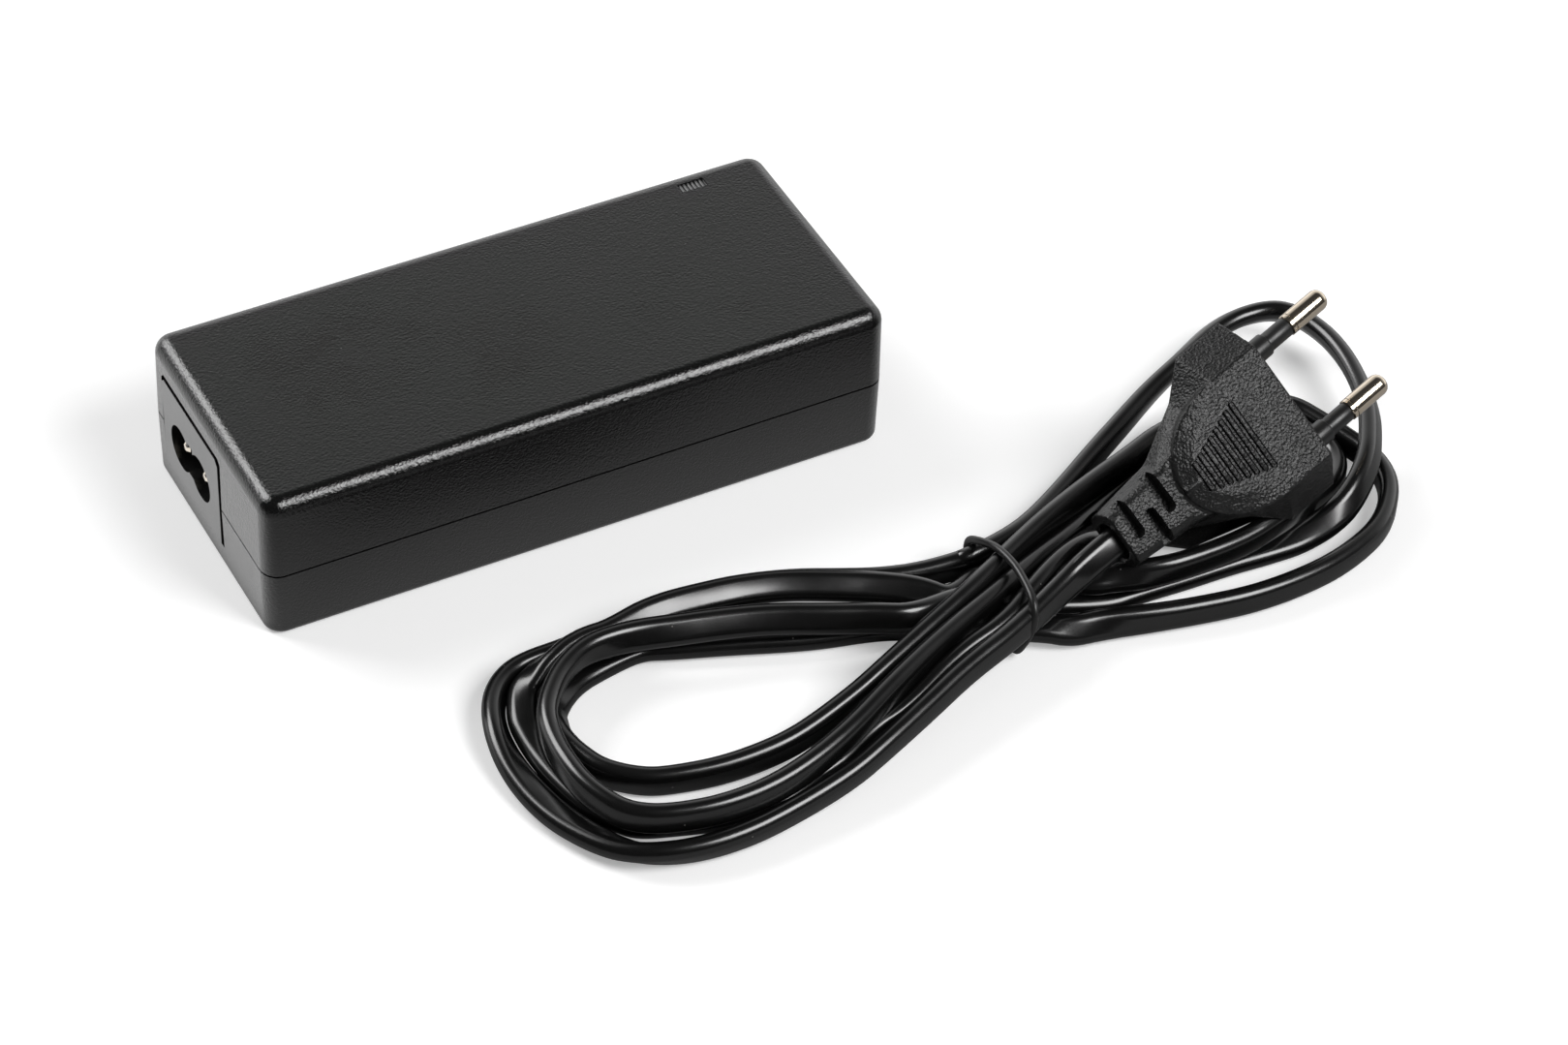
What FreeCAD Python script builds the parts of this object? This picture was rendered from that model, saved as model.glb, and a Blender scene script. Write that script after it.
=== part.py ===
"""Laptop power adapter with its detached mains lead, in millimetres.

The adapter lies flat: X runs along the case, the inlet is in the -X end, +Z is up and the origin is at
the middle of the case's underside. The lead lies in front and to the right of it, wound in a figure of
eight with a rubber ring round its waist.
"""

import FreeCAD
import Part

import math
import os
import re

import Sketcher

Vector = FreeCAD.Vector

SIZES = {
    # the case: two welded shells that meet at the seam
    "case_length": 119.0,
    "case_width": 51.0,
    "case_height": 30.0,
    "seam_height": 13.8,
    "wall": 2.2,
    "corner_radius": 3.4,
    "top_edge_radius": 3.0,
    "base_edge_radius": 1.4,
    "top_draft": 0.65,
    "base_draft": 0.8,
    "lip_height": 1.5,
    "lip_thickness": 0.9,
    "lip_gap": 0.12,
    "post_radius": 1.8,
    # the inlet's moulding, captured between the shells
    "inlet_middle": "=case_width / 2 - 17.3",
    "inlet_height": 13.2,
    "plate_middle": "=inlet_middle - 0.45",
    "plate_width": 24.7,
    "plate_low": 5.0,
    "plate_high": "=case_height - 6.2",
    "plate_chamfer": 0.9,
    "plate_recess": 0.3,
    "plate_gap": 0.12,
    "flange_overlap": 1.6,
    "flange_thickness": 1.6,
    "socket_width": 20.0,
    "socket_height": 11.4,
    "socket_depth": 15.0,
    "cavity_depth": 12.2,
    "lobe_radius": 4.3,
    "waist_width": 5.8,
    "waist_notch": 1.0,
    "contact_spacing": 8.6,
    "inlet_pin_radius": 1.18,
    "inlet_pin_inset": 0.8,
    "inlet_pin_tip": 0.53,
    "inlet_shank_radius": 1.45,
    "inlet_tail_radius": 0.6,
    # the status light and its window
    "window_length": 5.1,
    "window_width": 2.2,
    "window_across": "=case_length / 2 - 15.5",
    "window_back": "=case_width / 2 - 4.7",
    "window_recess": 0.3,
    "window_gap": 0.06,
    "window_ribs": 7,
    "window_rib_height": 0.25,
    "pipe_flange": 0.6,
    "pipe_width": 1.8,
    "lamp_height": 0.9,
    "lamp_gap": 0.3,
    # the output socket in the other end
    "jack_width": 13.0,
    "jack_height": 11.0,
    "jack_corner": 1.2,
    "jack_flange_overlap": 1.4,
    "jack_barrel_radius": 5.2,
    "jack_depth": 10.0,
    "jack_bore_radius": 2.85,
    "jack_bore_depth": 9.0,
    "jack_pin_radius": 1.0,
    "jack_pin_inset": 0.6,
    "jack_shank_radius": 1.25,
    # the circuit board and what stands on it
    "board_length": "=case_length - 8",
    "board_width": "=case_width - 7",
    "board_shift": 1.0,
    "post_length_spacing": "=board_length - 8",
    "post_width_spacing": "=board_width - 3.4",
    "board_underside": 5.2,
    "board_thickness": 1.6,
    "sheet_thickness": 0.4,
    "shield_length": "=case_length - 27",
    "shield_width": "=case_width - 19",
    "shield_thickness": 0.4,
    "core_length": 28.0,
    "core_width": 24.0,
    "core_height": 11.0,
    "core_leg": 8.0,
    "core_back": 4.4,
    "bobbin_wall": 0.8,
    "bobbin_flange": 1.0,
    "winding_build": 4.2,
    "winding_rise": "=case_height / 2 - 10.8",
    "winding_gap": 0.15,
    "transformer_x": "=case_length / 2 - 32.5",
    "transformer_y": -2.0,
    "bulk_radius": "=case_height / 2 - 6",
    "bulk_length": "=case_length - 92",
    "bulk_x": -12.0,
    "bulk_y": "=board_width / 2 - 10.5",
    "bulk_bead": 0.6,
    "bulk_bead_place": 2.5,
    "choke_outer": 7.4,
    "choke_inner": 4.0,
    "choke_width": 6.0,
    "choke_wire": 0.9,
    "choke_part": 5.0,
    "choke_x": "=9.75 - case_length / 4",
    "choke_y": "=10.5 - board_width / 2",
    "sink_thickness": 1.8,
    "sink_height": "=case_height - 12",
    "primary_sink_length": "=case_length / 4 + 0.25",
    "primary_sink_x": 2.0,
    "primary_sink_y": "=2 - board_width / 2",
    "secondary_sink_length": 22.0,
    "secondary_sink_x": "=case_length / 2 - 17.3",
    "secondary_sink_y": -2.0,
    "transistor_width": 10.2,
    "transistor_depth": 4.4,
    "transistor_height": "=sink_height - 2.5",
    "output_can_radius": 4.0,
    "output_can_height": 16.0,
    "output_can_x": "=case_length / 2 - 7.9",
    "output_can_y": "=board_width / 2 - 8",
    "rod_choke_radius": 3.2,
    "rod_choke_height": 14.0,
    "rod_choke_x": "=transformer_x + 9",
    "rod_choke_y": "=board_width / 2 - 5.2",
    "film_box_length": 8.5,
    "film_box_width": 17.0,
    "film_box_height": 15.0,
    "film_box_x": "=26.5 - case_length / 2",
    "film_box_y": "=board_width / 2 - 14",
    "fuse_radius": 2.3,
    "fuse_length": 11.0,
    "fuse_x": "=19.5 - case_length / 2",
    "fuse_start": "=3 - board_width / 2",
    "surge_radius": 4.5,
    "surge_thickness": 3.6,
    "surge_y": "=10 - board_width / 2",
    "bridge_depth": 3.6,
    "bridge_width": 15.0,
    "bridge_height": 12.0,
    "bridge_x": -9.0,
    "bridge_y": "=primary_sink_y + 9",
    "safety_radius": 4.0,
    "safety_thickness": 3.2,
    "safety_x": -2.0,
    "safety_y": "=primary_sink_y + 11",
    "isolator_length": 4.6,
    "isolator_width": 6.6,
    "isolator_height": 3.6,
    "isolator_x": "=transformer_x - 8",
    "isolator_y": "=board_width / 2 - 5",
    # the flat mains plug, in its own frame: pins along +X, ribbed face +Z
    "plug_width": 35.3,
    "plug_thickness": 13.7,
    "plug_flat": 23.5,
    "plug_block": 10.5,
    "plug_shoulder_x": 16.5,
    "plug_shoulder_width": 23.6,
    "plug_neck_x": 27.2,
    "plug_neck_width": 13.2,
    "plug_neck_thickness": 10.6,
    "pad_width": 24.2,
    "pad_straight": 10.2,
    "pad_length": 27.1,
    "pad_edge": 0.9,
    "rib_count": 8,
    "rib_first": 10.3,
    "rib_pitch": 1.69,
    "rib_width": 0.8,
    "rib_height": 0.4,
    "rib_longest": 13.8,
    "rib_step": 1.12,
    "rib_root": 0.3,
    "shoulder_flat": 0.62,
    "neck_flat": 0.55,
    "relief_end": 41.0,
    "relief_width": 11.2,
    "relief_thickness": 8.8,
    "relief_slot": 1.3,
    "relief_slot_pitch": 3.7,
    "relief_slot_first": 29.2,
    "relief_spine": 2.4,
    "plug_pin_spacing": 18.6,
    "plug_pin_radius": 2.0,
    "plug_pin_length": 19.0,
    "plug_pin_dome": 1.0,
    "pin_shank_radius": 1.35,
    "pin_root": 7.0,
    "sleeve_length": 10.0,
    "sleeve_radius": 1.8,
    "collar_length": 4.8,
    "collar_radius": 2.2,
    "plug_x": 113.7,
    "plug_y": -70.3,
    "plug_z": 24.0,
    "plug_yaw": 12.6,
    "plug_pitch": -15.1,
    "plug_roll": 44.1,
    # the small connector on the lead's other end, in its own frame: nose along +X
    "nose_length": 9.5,
    "nose_lobe_radius": 4.05,
    "nose_waist": 5.4,
    "contact_bore_radius": 1.25,
    "contact_tube_radius": 1.85,
    "contact_bore_depth": 8.5,
    "hood_length": 16.0,
    "hood_width": 16.8,
    "hood_thickness": 9.2,
    "hood_corner": 2.6,
    "tail_waist": 0.4,
    "grip_count": 4,
    "grip_first": 5.0,
    "grip_pitch": 2.4,
    "grip_width": 1.0,
    "grip_depth": 0.4,
    "tail_length": 12.5,
    "tail_width": 8.6,
    "tail_thickness": 6.4,
    "connector_x": 118.5,
    "connector_y": -65.0,
    "connector_yaw": 5.0,
    # the cord and the ring that ties it
    "cord_diameter": 4.2,
    "cord_sides": 6,
    "ring_sides": 8,
    "strand_gap": 0.65,
    "left_loops": 4,
    "waist_x": 58.0,
    "waist_y": -73.4,
    "high_heading": 23.0,
    "low_heading": 17.0,
    "ring_wire": 1.5,
    "ring_width": 22.4,
    "ring_gap": 0.3,
}

document = FreeCAD.newDocument("laptop_power_adapter")
sheet = document.addObject("Spreadsheet::Sheet", "Sizes")
for row, (alias, number) in enumerate(SIZES.items(), start=1):
    sheet.set(f"A{row}", alias)
    sheet.set(f"B{row}", str(number))
    sheet.setAlias(f"B{row}", alias)
document.recompute()

ALIAS = re.compile(r"\b[a-z_]+\b")
PATHS = {"x": "Placement.Base.x", "y": "Placement.Base.y", "z": "Placement.Base.z",
         "yaw": "Placement.Rotation.Yaw", "pitch": "Placement.Rotation.Pitch", "roll": "Placement.Rotation.Roll"}
pieces = []


def terms(expression):
    """The expression with the sheet's name before each of its aliases."""
    return ALIAS.sub(lambda word: f"Sizes.{word[0]}" if word[0] in SIZES else word[0], str(expression))


def size(expression):
    """The number that an expression of the sheet's aliases stands for."""
    return float(sheet.evalExpression(terms(expression)))


def bind(item, **settings):
    """Binds properties of an object to expressions of the sheet's aliases."""
    for name, expression in settings.items():
        item.setExpression(PATHS.get(name, name), terms(expression))
    return item


def piece(item, node):
    """Names a finished object after its node and keeps it for export."""
    item.Label = node
    pieces.append(item)
    return item


# Solids from primitives

def box(name, length, width, height, x="0", y="0", z="0"):
    """A block given by its sizes, its middle in X and Y, and its underside."""
    item = document.addObject("Part::Box", name)
    return bind(item, Length=length, Width=width, Height=height,
                x=f"{x} - ({length}) / 2", y=f"{y} - ({width}) / 2", z=z)


def cylinder(name, radius, height, x="0", y="0", z="0", axis="z"):
    """A cylinder that starts at a point and runs along an axis."""
    item = document.addObject("Part::Cylinder", name)
    turns = {"z": (Vector(0, 0, 1), 0), "x": (Vector(0, 1, 0), 90), "y": (Vector(1, 0, 0), -90)}
    item.Placement = FreeCAD.Placement(Vector(), FreeCAD.Rotation(*turns[axis]))
    return bind(item, Radius=radius, Height=height, x=x, y=y, z=z)


def fuse(name, *parts):
    item = document.addObject("Part::MultiFuse", name)
    item.Shapes = list(parts)
    item.Refine = True
    return item


def cut(name, base, *tools):
    item = document.addObject("Part::Cut", name)
    item.Base = base
    item.Tool = tools[0] if len(tools) == 1 else fuse(name + "_tools", *tools)
    item.Refine = True
    return item


def common(name, first, second):
    item = document.addObject("Part::Common", name)
    item.Base = first
    item.Tool = second
    return item


# Bodies from sketches

def body(name):
    return document.addObject("PartDesign::Body", name)


def sketch(owner, name, role="XY_Plane", offset="0"):
    """A sketch on one of the body's own planes, moved along its normal."""
    plane = next(feature for feature in owner.Origin.OriginFeatures if feature.Role == role)
    item = owner.newObject("Sketcher::SketchObject", name)
    item.AttachmentSupport = (plane, [""])
    item.MapMode = "FlatFace"
    item.setExpression("AttachmentOffset.Base.z", terms(offset))
    return item


def hold(drawing, kind, geometry, point, expression):
    """Ties one coordinate of a point to the sheet."""
    if expression == "0":
        axis = -2 if kind == "DistanceX" else -1
        drawing.addConstraint(Sketcher.Constraint("PointOnObject", geometry, point, axis))
        return
    index = drawing.addConstraint(
        Sketcher.Constraint(kind, -1, 1, geometry, point, size(expression)))
    drawing.setExpression(f"Constraints[{index}]", terms(expression))


def outline(drawing, corners):
    """A closed outline of straight lines through corners given as expressions."""
    first = drawing.GeometryCount
    spots = [Vector(size(x), size(y), 0) for x, y in corners]
    count = len(spots)
    for i in range(count):
        drawing.addGeometry(Part.LineSegment(spots[i], spots[(i + 1) % count]))
    for i in range(count):
        drawing.addConstraint(Sketcher.Constraint("Coincident", first + i, 2, first + (i + 1) % count, 1))
    for i, (x, y) in enumerate(corners):
        hold(drawing, "DistanceX", first + i, 1, x)
        hold(drawing, "DistanceY", first + i, 1, y)


def rounded(drawing, left, right, low, high, radius):
    """A rectangle with round corners, tied to the sheet on all four sides."""
    first = drawing.GeometryCount
    x0, x1, y0, y1, r = (size(value) for value in (left, right, low, high, radius))
    ends = [((x0 + r, y0), (x1 - r, y0)), ((x1, y0 + r), (x1, y1 - r)),
            ((x1 - r, y1), (x0 + r, y1)), ((x0, y1 - r), (x0, y0 + r))]
    middles = [(x1 - r, y0 + r), (x1 - r, y1 - r), (x0 + r, y1 - r), (x0 + r, y0 + r)]
    for start, end in ends:
        drawing.addGeometry(Part.LineSegment(Vector(*start, 0), Vector(*end, 0)))
    for i, middle in enumerate(middles):
        circle = Part.Circle(Vector(*middle, 0), Vector(0, 0, 1), r)
        drawing.addGeometry(Part.ArcOfCircle(circle, math.radians(90 * i - 90), math.radians(90 * i)))
    for i in range(4):
        drawing.addConstraint(Sketcher.Constraint("Tangent", first + i, 2, first + 4 + i, 1))
        drawing.addConstraint(Sketcher.Constraint("Tangent", first + 4 + i, 2, first + (i + 1) % 4, 1))
        drawing.addConstraint(Sketcher.Constraint("Vertical" if i % 2 else "Horizontal", first + i))
    for i in range(1, 4):
        drawing.addConstraint(Sketcher.Constraint("Equal", first + 4, first + 4 + i))
    index = drawing.addConstraint(Sketcher.Constraint("Radius", first + 4, r))
    drawing.setExpression(f"Constraints[{index}]", terms(radius))
    hold(drawing, "DistanceY", first, 1, low)
    hold(drawing, "DistanceX", first + 1, 1, right)
    hold(drawing, "DistanceY", first + 2, 1, high)
    hold(drawing, "DistanceX", first + 3, 1, left)


def circle(drawing, x, y, radius):
    index = drawing.addGeometry(Part.Circle(Vector(size(x), size(y), 0), Vector(0, 0, 1), size(radius)))
    hold(drawing, "DistanceX", index, 3, x)
    hold(drawing, "DistanceY", index, 3, y)
    bound = drawing.addConstraint(Sketcher.Constraint("Radius", index, size(radius)))
    drawing.setExpression(f"Constraints[{bound}]", terms(radius))


def pad(owner, drawing, length, upward=True, draft=None):
    item = owner.newObject("PartDesign::Pad", drawing.Name + "_pad")
    item.Profile = drawing
    item.Reversed = not upward
    bind(item, Length=length)
    if draft is not None:
        bind(item, TaperAngle=draft)
    return item


def pocket(owner, drawing, length, downward=True):
    """Cuts a sketch into the body and makes sure that something was cut."""
    document.recompute()
    before = owner.Shape.Volume
    item = owner.newObject("PartDesign::Pocket", drawing.Name + "_pocket")
    item.Profile = drawing
    item.Reversed = not downward
    bind(item, Length=length)
    document.recompute()
    if owner.Shape.Volume > before - 0.01:
        raise ValueError(f"{item.Name} cuts nothing")
    return item


def fillet(owner, radius, chosen):
    """Rounds the edges of the body's last feature for which chosen(edge) holds."""
    document.recompute()
    base = owner.Tip
    names = [f"Edge{i}" for i, edge in enumerate(base.Shape.Edges, start=1) if chosen(edge)]
    item = owner.newObject("PartDesign::Fillet", base.Name + "_fillet")
    item.Base = (base, names)
    bind(item, Radius=radius)
    return item


def level(height):
    """A test for edges that lie wholly at one height."""
    def lies(edge):
        return abs(edge.BoundBox.ZMin - height) < 0.01 and abs(edge.BoundBox.ZMax - height) < 0.01
    return lies


# The case

def case_rectangle(drawing, inset, radius):
    rounded(drawing, f"-case_length / 2 + ({inset})", f"case_length / 2 - ({inset})",
            f"-case_width / 2 + ({inset})", f"case_width / 2 - ({inset})", radius)


def inlet_window(drawing, half, low, high, grown):
    """The inlet plate's outline with its two chamfered top corners, grown all round."""
    left = f"plate_middle - {half} - {grown}"
    right = f"plate_middle + {half} + {grown}"
    top = f"{high} + {grown}"
    outline(drawing, [
        (left, f"{low} - {grown}"),
        (right, f"{low} - {grown}"),
        (right, f"{top} - plate_chamfer"),
        (f"{right} - plate_chamfer", top),
        (f"{left} + plate_chamfer", top),
        (left, f"{top} - plate_chamfer"),
    ])


def jack_outline(drawing, grown):
    rounded(drawing, f"-jack_width / 2 - {grown}", f"jack_width / 2 + {grown}",
            f"seam_height - jack_height / 2 - {grown}", f"seam_height + jack_height / 2 + {grown}", "jack_corner")


def post_circles(drawing):
    for across in ("-", ""):
        for along in ("-", ""):
            circle(drawing, f"board_shift + {along}post_length_spacing / 2", f"{across}post_width_spacing / 2",
                   "post_radius")


def open_ends(shell):
    """The windows for the inlet's plate and for the output socket, in one of the shells."""
    window = sketch(shell, shell.Name + "_window", "YZ_Plane", "-case_length / 2 - 1")
    inlet_window(window, "plate_width / 2", "plate_low", "plate_high", "plate_gap")
    pocket(shell, window, "wall + 1", downward=False)
    far = sketch(shell, shell.Name + "_jack_window", "YZ_Plane", "case_length / 2 + 1")
    jack_outline(far, "plate_gap")
    pocket(shell, far, "wall + 1")


def make_bottom_shell():
    """The tub: drafted walls, a rounded base, a weld lip inside the seam and posts for the board."""
    shell = body("bottom")
    rim = sketch(shell, "bottom_rim", offset="seam_height")
    case_rectangle(rim, "0", "corner_radius")
    pad(shell, rim, "seam_height", upward=False, draft="-base_draft")
    fillet(shell, "base_edge_radius", level(0))
    lip = sketch(shell, "bottom_lip", offset="seam_height")
    case_rectangle(lip, "wall - lip_thickness", "corner_radius - wall + lip_thickness")
    pad(shell, lip, "lip_height")
    hollow = sketch(shell, "bottom_hollow", offset="seam_height + lip_height")
    case_rectangle(hollow, "wall", "corner_radius - wall")
    pocket(shell, hollow, "seam_height + lip_height - wall")
    posts = sketch(shell, "bottom_posts", offset="wall")
    post_circles(posts)
    pad(shell, posts, "board_underside - wall")
    open_ends(shell)
    piece(shell, "bottom_shell")


def make_top_shell():
    """The lid: drafted walls, a large edge radius, a rebate over the lip, posts and the light's slot."""
    shell = body("top")
    rim = sketch(shell, "top_rim", offset="seam_height")
    case_rectangle(rim, "0", "corner_radius")
    pad(shell, rim, "case_height - seam_height", draft="-top_draft")
    fillet(shell, "top_edge_radius", level(size("case_height")))
    hollow = sketch(shell, "top_hollow", offset="seam_height")
    case_rectangle(hollow, "wall", "corner_radius - wall")
    pocket(shell, hollow, "case_height - wall - seam_height", downward=False)
    rebate = sketch(shell, "top_rebate", offset="seam_height")
    case_rectangle(rebate, "wall - lip_thickness - lip_gap", "corner_radius - wall + lip_thickness + lip_gap")
    pocket(shell, rebate, "lip_height + lip_gap", downward=False)
    posts = sketch(shell, "top_posts", offset="case_height - wall")
    post_circles(posts)
    pad(shell, posts, "case_height - wall - board_underside - board_thickness - lip_gap", upward=False)
    slot = sketch(shell, "top_light_slot", offset="case_height + 1")
    rounded(slot, "window_across - window_length / 2", "window_across + window_length / 2",
            "window_back - window_width / 2", "window_back + window_width / 2", "window_gap * 2")
    pocket(shell, slot, "wall + 1")
    open_ends(shell)
    piece(shell, "top_shell")


def figure_eight(name, spacing, radius, waist, depth, x, y, z):
    """A bar with two round lobes side by side in Y, running along +X."""
    lobes = [cylinder(f"{name}_lobe_{i}", radius, depth, x, f"{y} + {side}({spacing}) / 2", z, "x")
             for i, side in enumerate(("-", ""))]
    bridge = box(f"{name}_bridge", depth, spacing, waist, f"{x} + ({depth}) / 2", y, f"{z} - ({waist}) / 2")
    return fuse(name, *lobes, bridge)


def make_inlet():
    """The inlet's moulding with its figure-of-eight socket, and the two pins that stand in it."""
    face = "-case_length / 2 + plate_recess"
    moulding = body("inlet_moulding")
    plate = sketch(moulding, "inlet_plate", "YZ_Plane", face)
    inlet_window(plate, "plate_width / 2", "plate_low", "plate_high", "0")
    pad(moulding, plate, "wall - plate_recess + lip_gap")
    flange = sketch(moulding, "inlet_flange", "YZ_Plane", "-case_length / 2 + wall + lip_gap")
    inlet_window(flange, "plate_width / 2", "plate_low", "plate_high", "flange_overlap")
    pad(moulding, flange, "flange_thickness")
    socket = sketch(moulding, "inlet_socket", "YZ_Plane", face)
    rounded(socket, "inlet_middle - socket_width / 2", "inlet_middle + socket_width / 2",
            "inlet_height - socket_height / 2", "inlet_height + socket_height / 2", "lobe_radius / 2")
    pad(moulding, socket, "socket_depth")
    cavity = figure_eight("inlet_cavity", "contact_spacing", "lobe_radius", "waist_width", "cavity_depth + 1",
                          f"{face} - 1", "inlet_middle", "inlet_height")
    notch = box("inlet_notch", "cavity_depth + 1", "waist_notch * 2", "waist_notch",
                f"{face} - 1 + (cavity_depth + 1) / 2", "inlet_middle", "inlet_height + waist_width / 2")
    floor = f"{face} + cavity_depth"
    holes = [cylinder(f"inlet_pin_hole_{i}", "inlet_shank_radius", "socket_depth - cavity_depth + 2", f"{floor} - 1",
                      f"inlet_middle + {side}contact_spacing / 2", "inlet_height", "x")
             for i, side in enumerate(("-", ""))]
    piece(cut("inlet_housing_solid", moulding, cavity, notch, *holes), "inlet_housing")
    for node, side in (("inlet_pin_front", "-"), ("inlet_pin_back", "")):
        across = f"inlet_middle + {side}contact_spacing / 2"
        rod = cylinder(node + "_rod", "inlet_pin_radius", "cavity_depth - inlet_pin_inset",
                       f"{face} + inlet_pin_inset", across, "inlet_height", "x")
        tip = document.addObject("Part::Chamfer", node + "_tip")
        document.recompute()
        tip.Base = rod
        start = [i for i, edge in enumerate(rod.Shape.Edges, start=1)
                 if edge.BoundBox.XMax < size(face) + size("inlet_pin_inset") + 0.01]
        tip.Edges = [(start[0], size("inlet_pin_tip"), size("inlet_pin_tip"))]
        shank = cylinder(node + "_shank", "inlet_shank_radius", "socket_depth + 2 - cavity_depth", floor, across,
                         "inlet_height", "x")
        tail = cylinder(node + "_tail", "inlet_tail_radius",
                        "inlet_height - board_underside - board_thickness",
                        f"{face} + socket_depth + 2 - inlet_tail_radius", across,
                        "board_underside + board_thickness")
        piece(fuse(node + "_solid", tip, shank, tail), node)


def make_light():
    """The clear pipe whose ribbed end shows in the lid, and the lamp under it."""
    floor = "(board_underside + board_thickness + lamp_height + lamp_gap)"
    top = "(case_height - window_recess)"
    stem = box("pipe_stem", "pipe_width", "pipe_width", f"case_height - wall - {floor}",
               "window_across", "window_back", floor)
    head = box("pipe_head", "window_length - 2 * window_gap", "window_width - 2 * window_gap",
               f"{top} - window_rib_height - (case_height - wall - 1)", "window_across", "window_back",
               "case_height - wall - 1")
    flange = box("pipe_flange_block", "window_length + 2 * pipe_flange", "window_width + 2 * pipe_flange",
                 "pipe_flange", "window_across", "window_back", "case_height - wall - pipe_flange - window_gap")
    parts = [stem, head, flange]
    count = int(size("window_ribs"))
    for i in range(count):
        parts.append(box(f"pipe_rib_{i}", "window_length / (2 * window_ribs)", "window_width - 2 * window_gap",
                         "window_rib_height + 0.1",
                         f"window_across + ({i} - (window_ribs - 1) / 2) * (window_length - 0.4) / window_ribs",
                         "window_back", f"{top} - window_rib_height - 0.1"))
    piece(fuse("light_pipe_solid", *parts), "light_pipe")
    lamp = box("lamp_block", "pipe_width", "pipe_width * 0.7", "lamp_height", "window_across", "window_back",
               "board_underside + board_thickness")
    piece(lamp, "status_light")


def make_jack():
    """The output socket: a moulded barrel behind a flush plate, with a pin in the middle of its bore."""
    face = "case_length / 2 - plate_recess"
    moulding = body("jack_moulding")
    plate = sketch(moulding, "jack_plate", "YZ_Plane", face)
    jack_outline(plate, "0")
    pad(moulding, plate, "wall - plate_recess + lip_gap", upward=False)
    flange = sketch(moulding, "jack_flange", "YZ_Plane", "case_length / 2 - wall - lip_gap")
    jack_outline(flange, "jack_flange_overlap")
    pad(moulding, flange, "flange_thickness", upward=False)
    barrel = sketch(moulding, "jack_barrel", "YZ_Plane", face)
    circle(barrel, "0", "seam_height", "jack_barrel_radius")
    pad(moulding, barrel, "jack_depth", upward=False)
    floor = f"{face} - jack_bore_depth"
    bore = cylinder("jack_bore", "jack_bore_radius", "jack_bore_depth + 1", floor, "0", "seam_height", "x")
    hole = cylinder("jack_pin_hole", "jack_shank_radius", "jack_depth - jack_bore_depth + 2",
                    f"{face} - jack_depth - 1", "0", "seam_height", "x")
    piece(cut("jack_solid", moulding, bore, hole), "output_socket")
    reach = "(jack_depth + 2 * inlet_tail_radius + lip_gap)"
    rod = cylinder("jack_rod", "jack_pin_radius", "jack_bore_depth - jack_pin_inset", floor, "0", "seam_height",
                   "x")
    shank = cylinder("jack_shank", "jack_shank_radius", f"{reach} - jack_bore_depth", f"{face} - {reach}", "0",
                     "seam_height", "x")
    tail = cylinder("jack_tail", "inlet_tail_radius", "seam_height - board_underside - board_thickness",
                    f"{face} - {reach} + inlet_tail_radius", "0", "board_underside + board_thickness")
    piece(fuse("jack_pin_solid", rod, shank, tail), "output_pin")


# What the case holds

BOARD_TOP = "(board_underside + board_thickness)"


def make_board():
    board = box("board_panel", "board_length", "board_width", "board_thickness", "board_shift", "0",
                "board_underside")
    piece(board, "circuit_board")
    film = box("film", "post_length_spacing - 2 * post_radius - 2", "board_width - 4", "sheet_thickness",
               "board_shift", "0", "wall")
    piece(film, "insulation_sheet")
    plate = box("shield_plate", "shield_length", "shield_width", "shield_thickness", "0", "0",
                "case_height - wall - shield_thickness - lip_gap")
    piece(plate, "heat_shield")


def make_transformer():
    """A pair of E cores on a bobbin, whose winding runs round the middle leg along Y."""
    middle = "(board_underside + board_thickness + core_leg / 2 + bobbin_wall + winding_rise + bobbin_flange)"
    place = ("transformer_x", "transformer_y")
    window = "(core_width - 2 * core_back)"
    blank = box("core_blank", "core_length", "core_width", "core_height", *place, f"{middle} - core_height / 2")
    side = "((core_length - core_leg) / 2 - core_back)"
    gaps = [box(f"core_window_{i}", side, window, "core_height + 2",
                f"transformer_x + {sign}(core_leg / 2 + {side} / 2)", "transformer_y",
                f"{middle} - core_height / 2 - 1") for i, sign in enumerate(("-", ""))]
    over = [box(f"core_relief_{i}", "core_leg + 2", window, "(core_height - core_leg) / 2 + 1", *place, height)
            for i, height in enumerate((f"{middle} + core_leg / 2", f"{middle} - core_height / 2 - 1"))]
    piece(cut("core_solid", blank, *gaps, *over), "transformer_core")

    leg = "(core_leg + 2 * winding_gap)"
    tube = f"({leg} + 2 * bobbin_wall)"
    length = f"({window} - 2 * winding_gap)"
    flange_width = f"({tube} + 2 * winding_build - 2 * winding_gap)"
    flange_height = "(core_leg + 2 * bobbin_wall + 2 * winding_rise + 2 * bobbin_flange)"
    barrel = box("bobbin_barrel", tube, length, tube, *place, f"{middle} - {tube} / 2")
    flanges = [box(f"bobbin_flange_{i}", flange_width, "bobbin_flange", flange_height, "transformer_x",
                   f"transformer_y + {sign}({length} - bobbin_flange) / 2", f"{middle} - {flange_height} / 2")
               for i, sign in enumerate(("-", ""))]
    hole = box("bobbin_hole", leg, f"{length} + 2", leg, *place, f"{middle} - {leg} / 2")
    piece(cut("bobbin_solid", fuse("bobbin_turned", barrel, *flanges), hole), "transformer_bobbin")

    depth = f"({length} - 2 * bobbin_flange - 2 * winding_gap)"
    outer = box("winding_outer", f"{flange_width} - 2 * winding_gap", depth,
                f"{flange_height} - 2 * bobbin_flange", *place, f"{middle} - {flange_height} / 2 + bobbin_flange")
    inner = box("winding_inner", f"{tube} + 2 * winding_gap", f"{depth} + 2", f"{tube} + 2 * winding_gap", *place,
                f"{middle} - {tube} / 2 - winding_gap")
    piece(cut("winding_solid", outer, inner), "transformer_winding")


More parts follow.
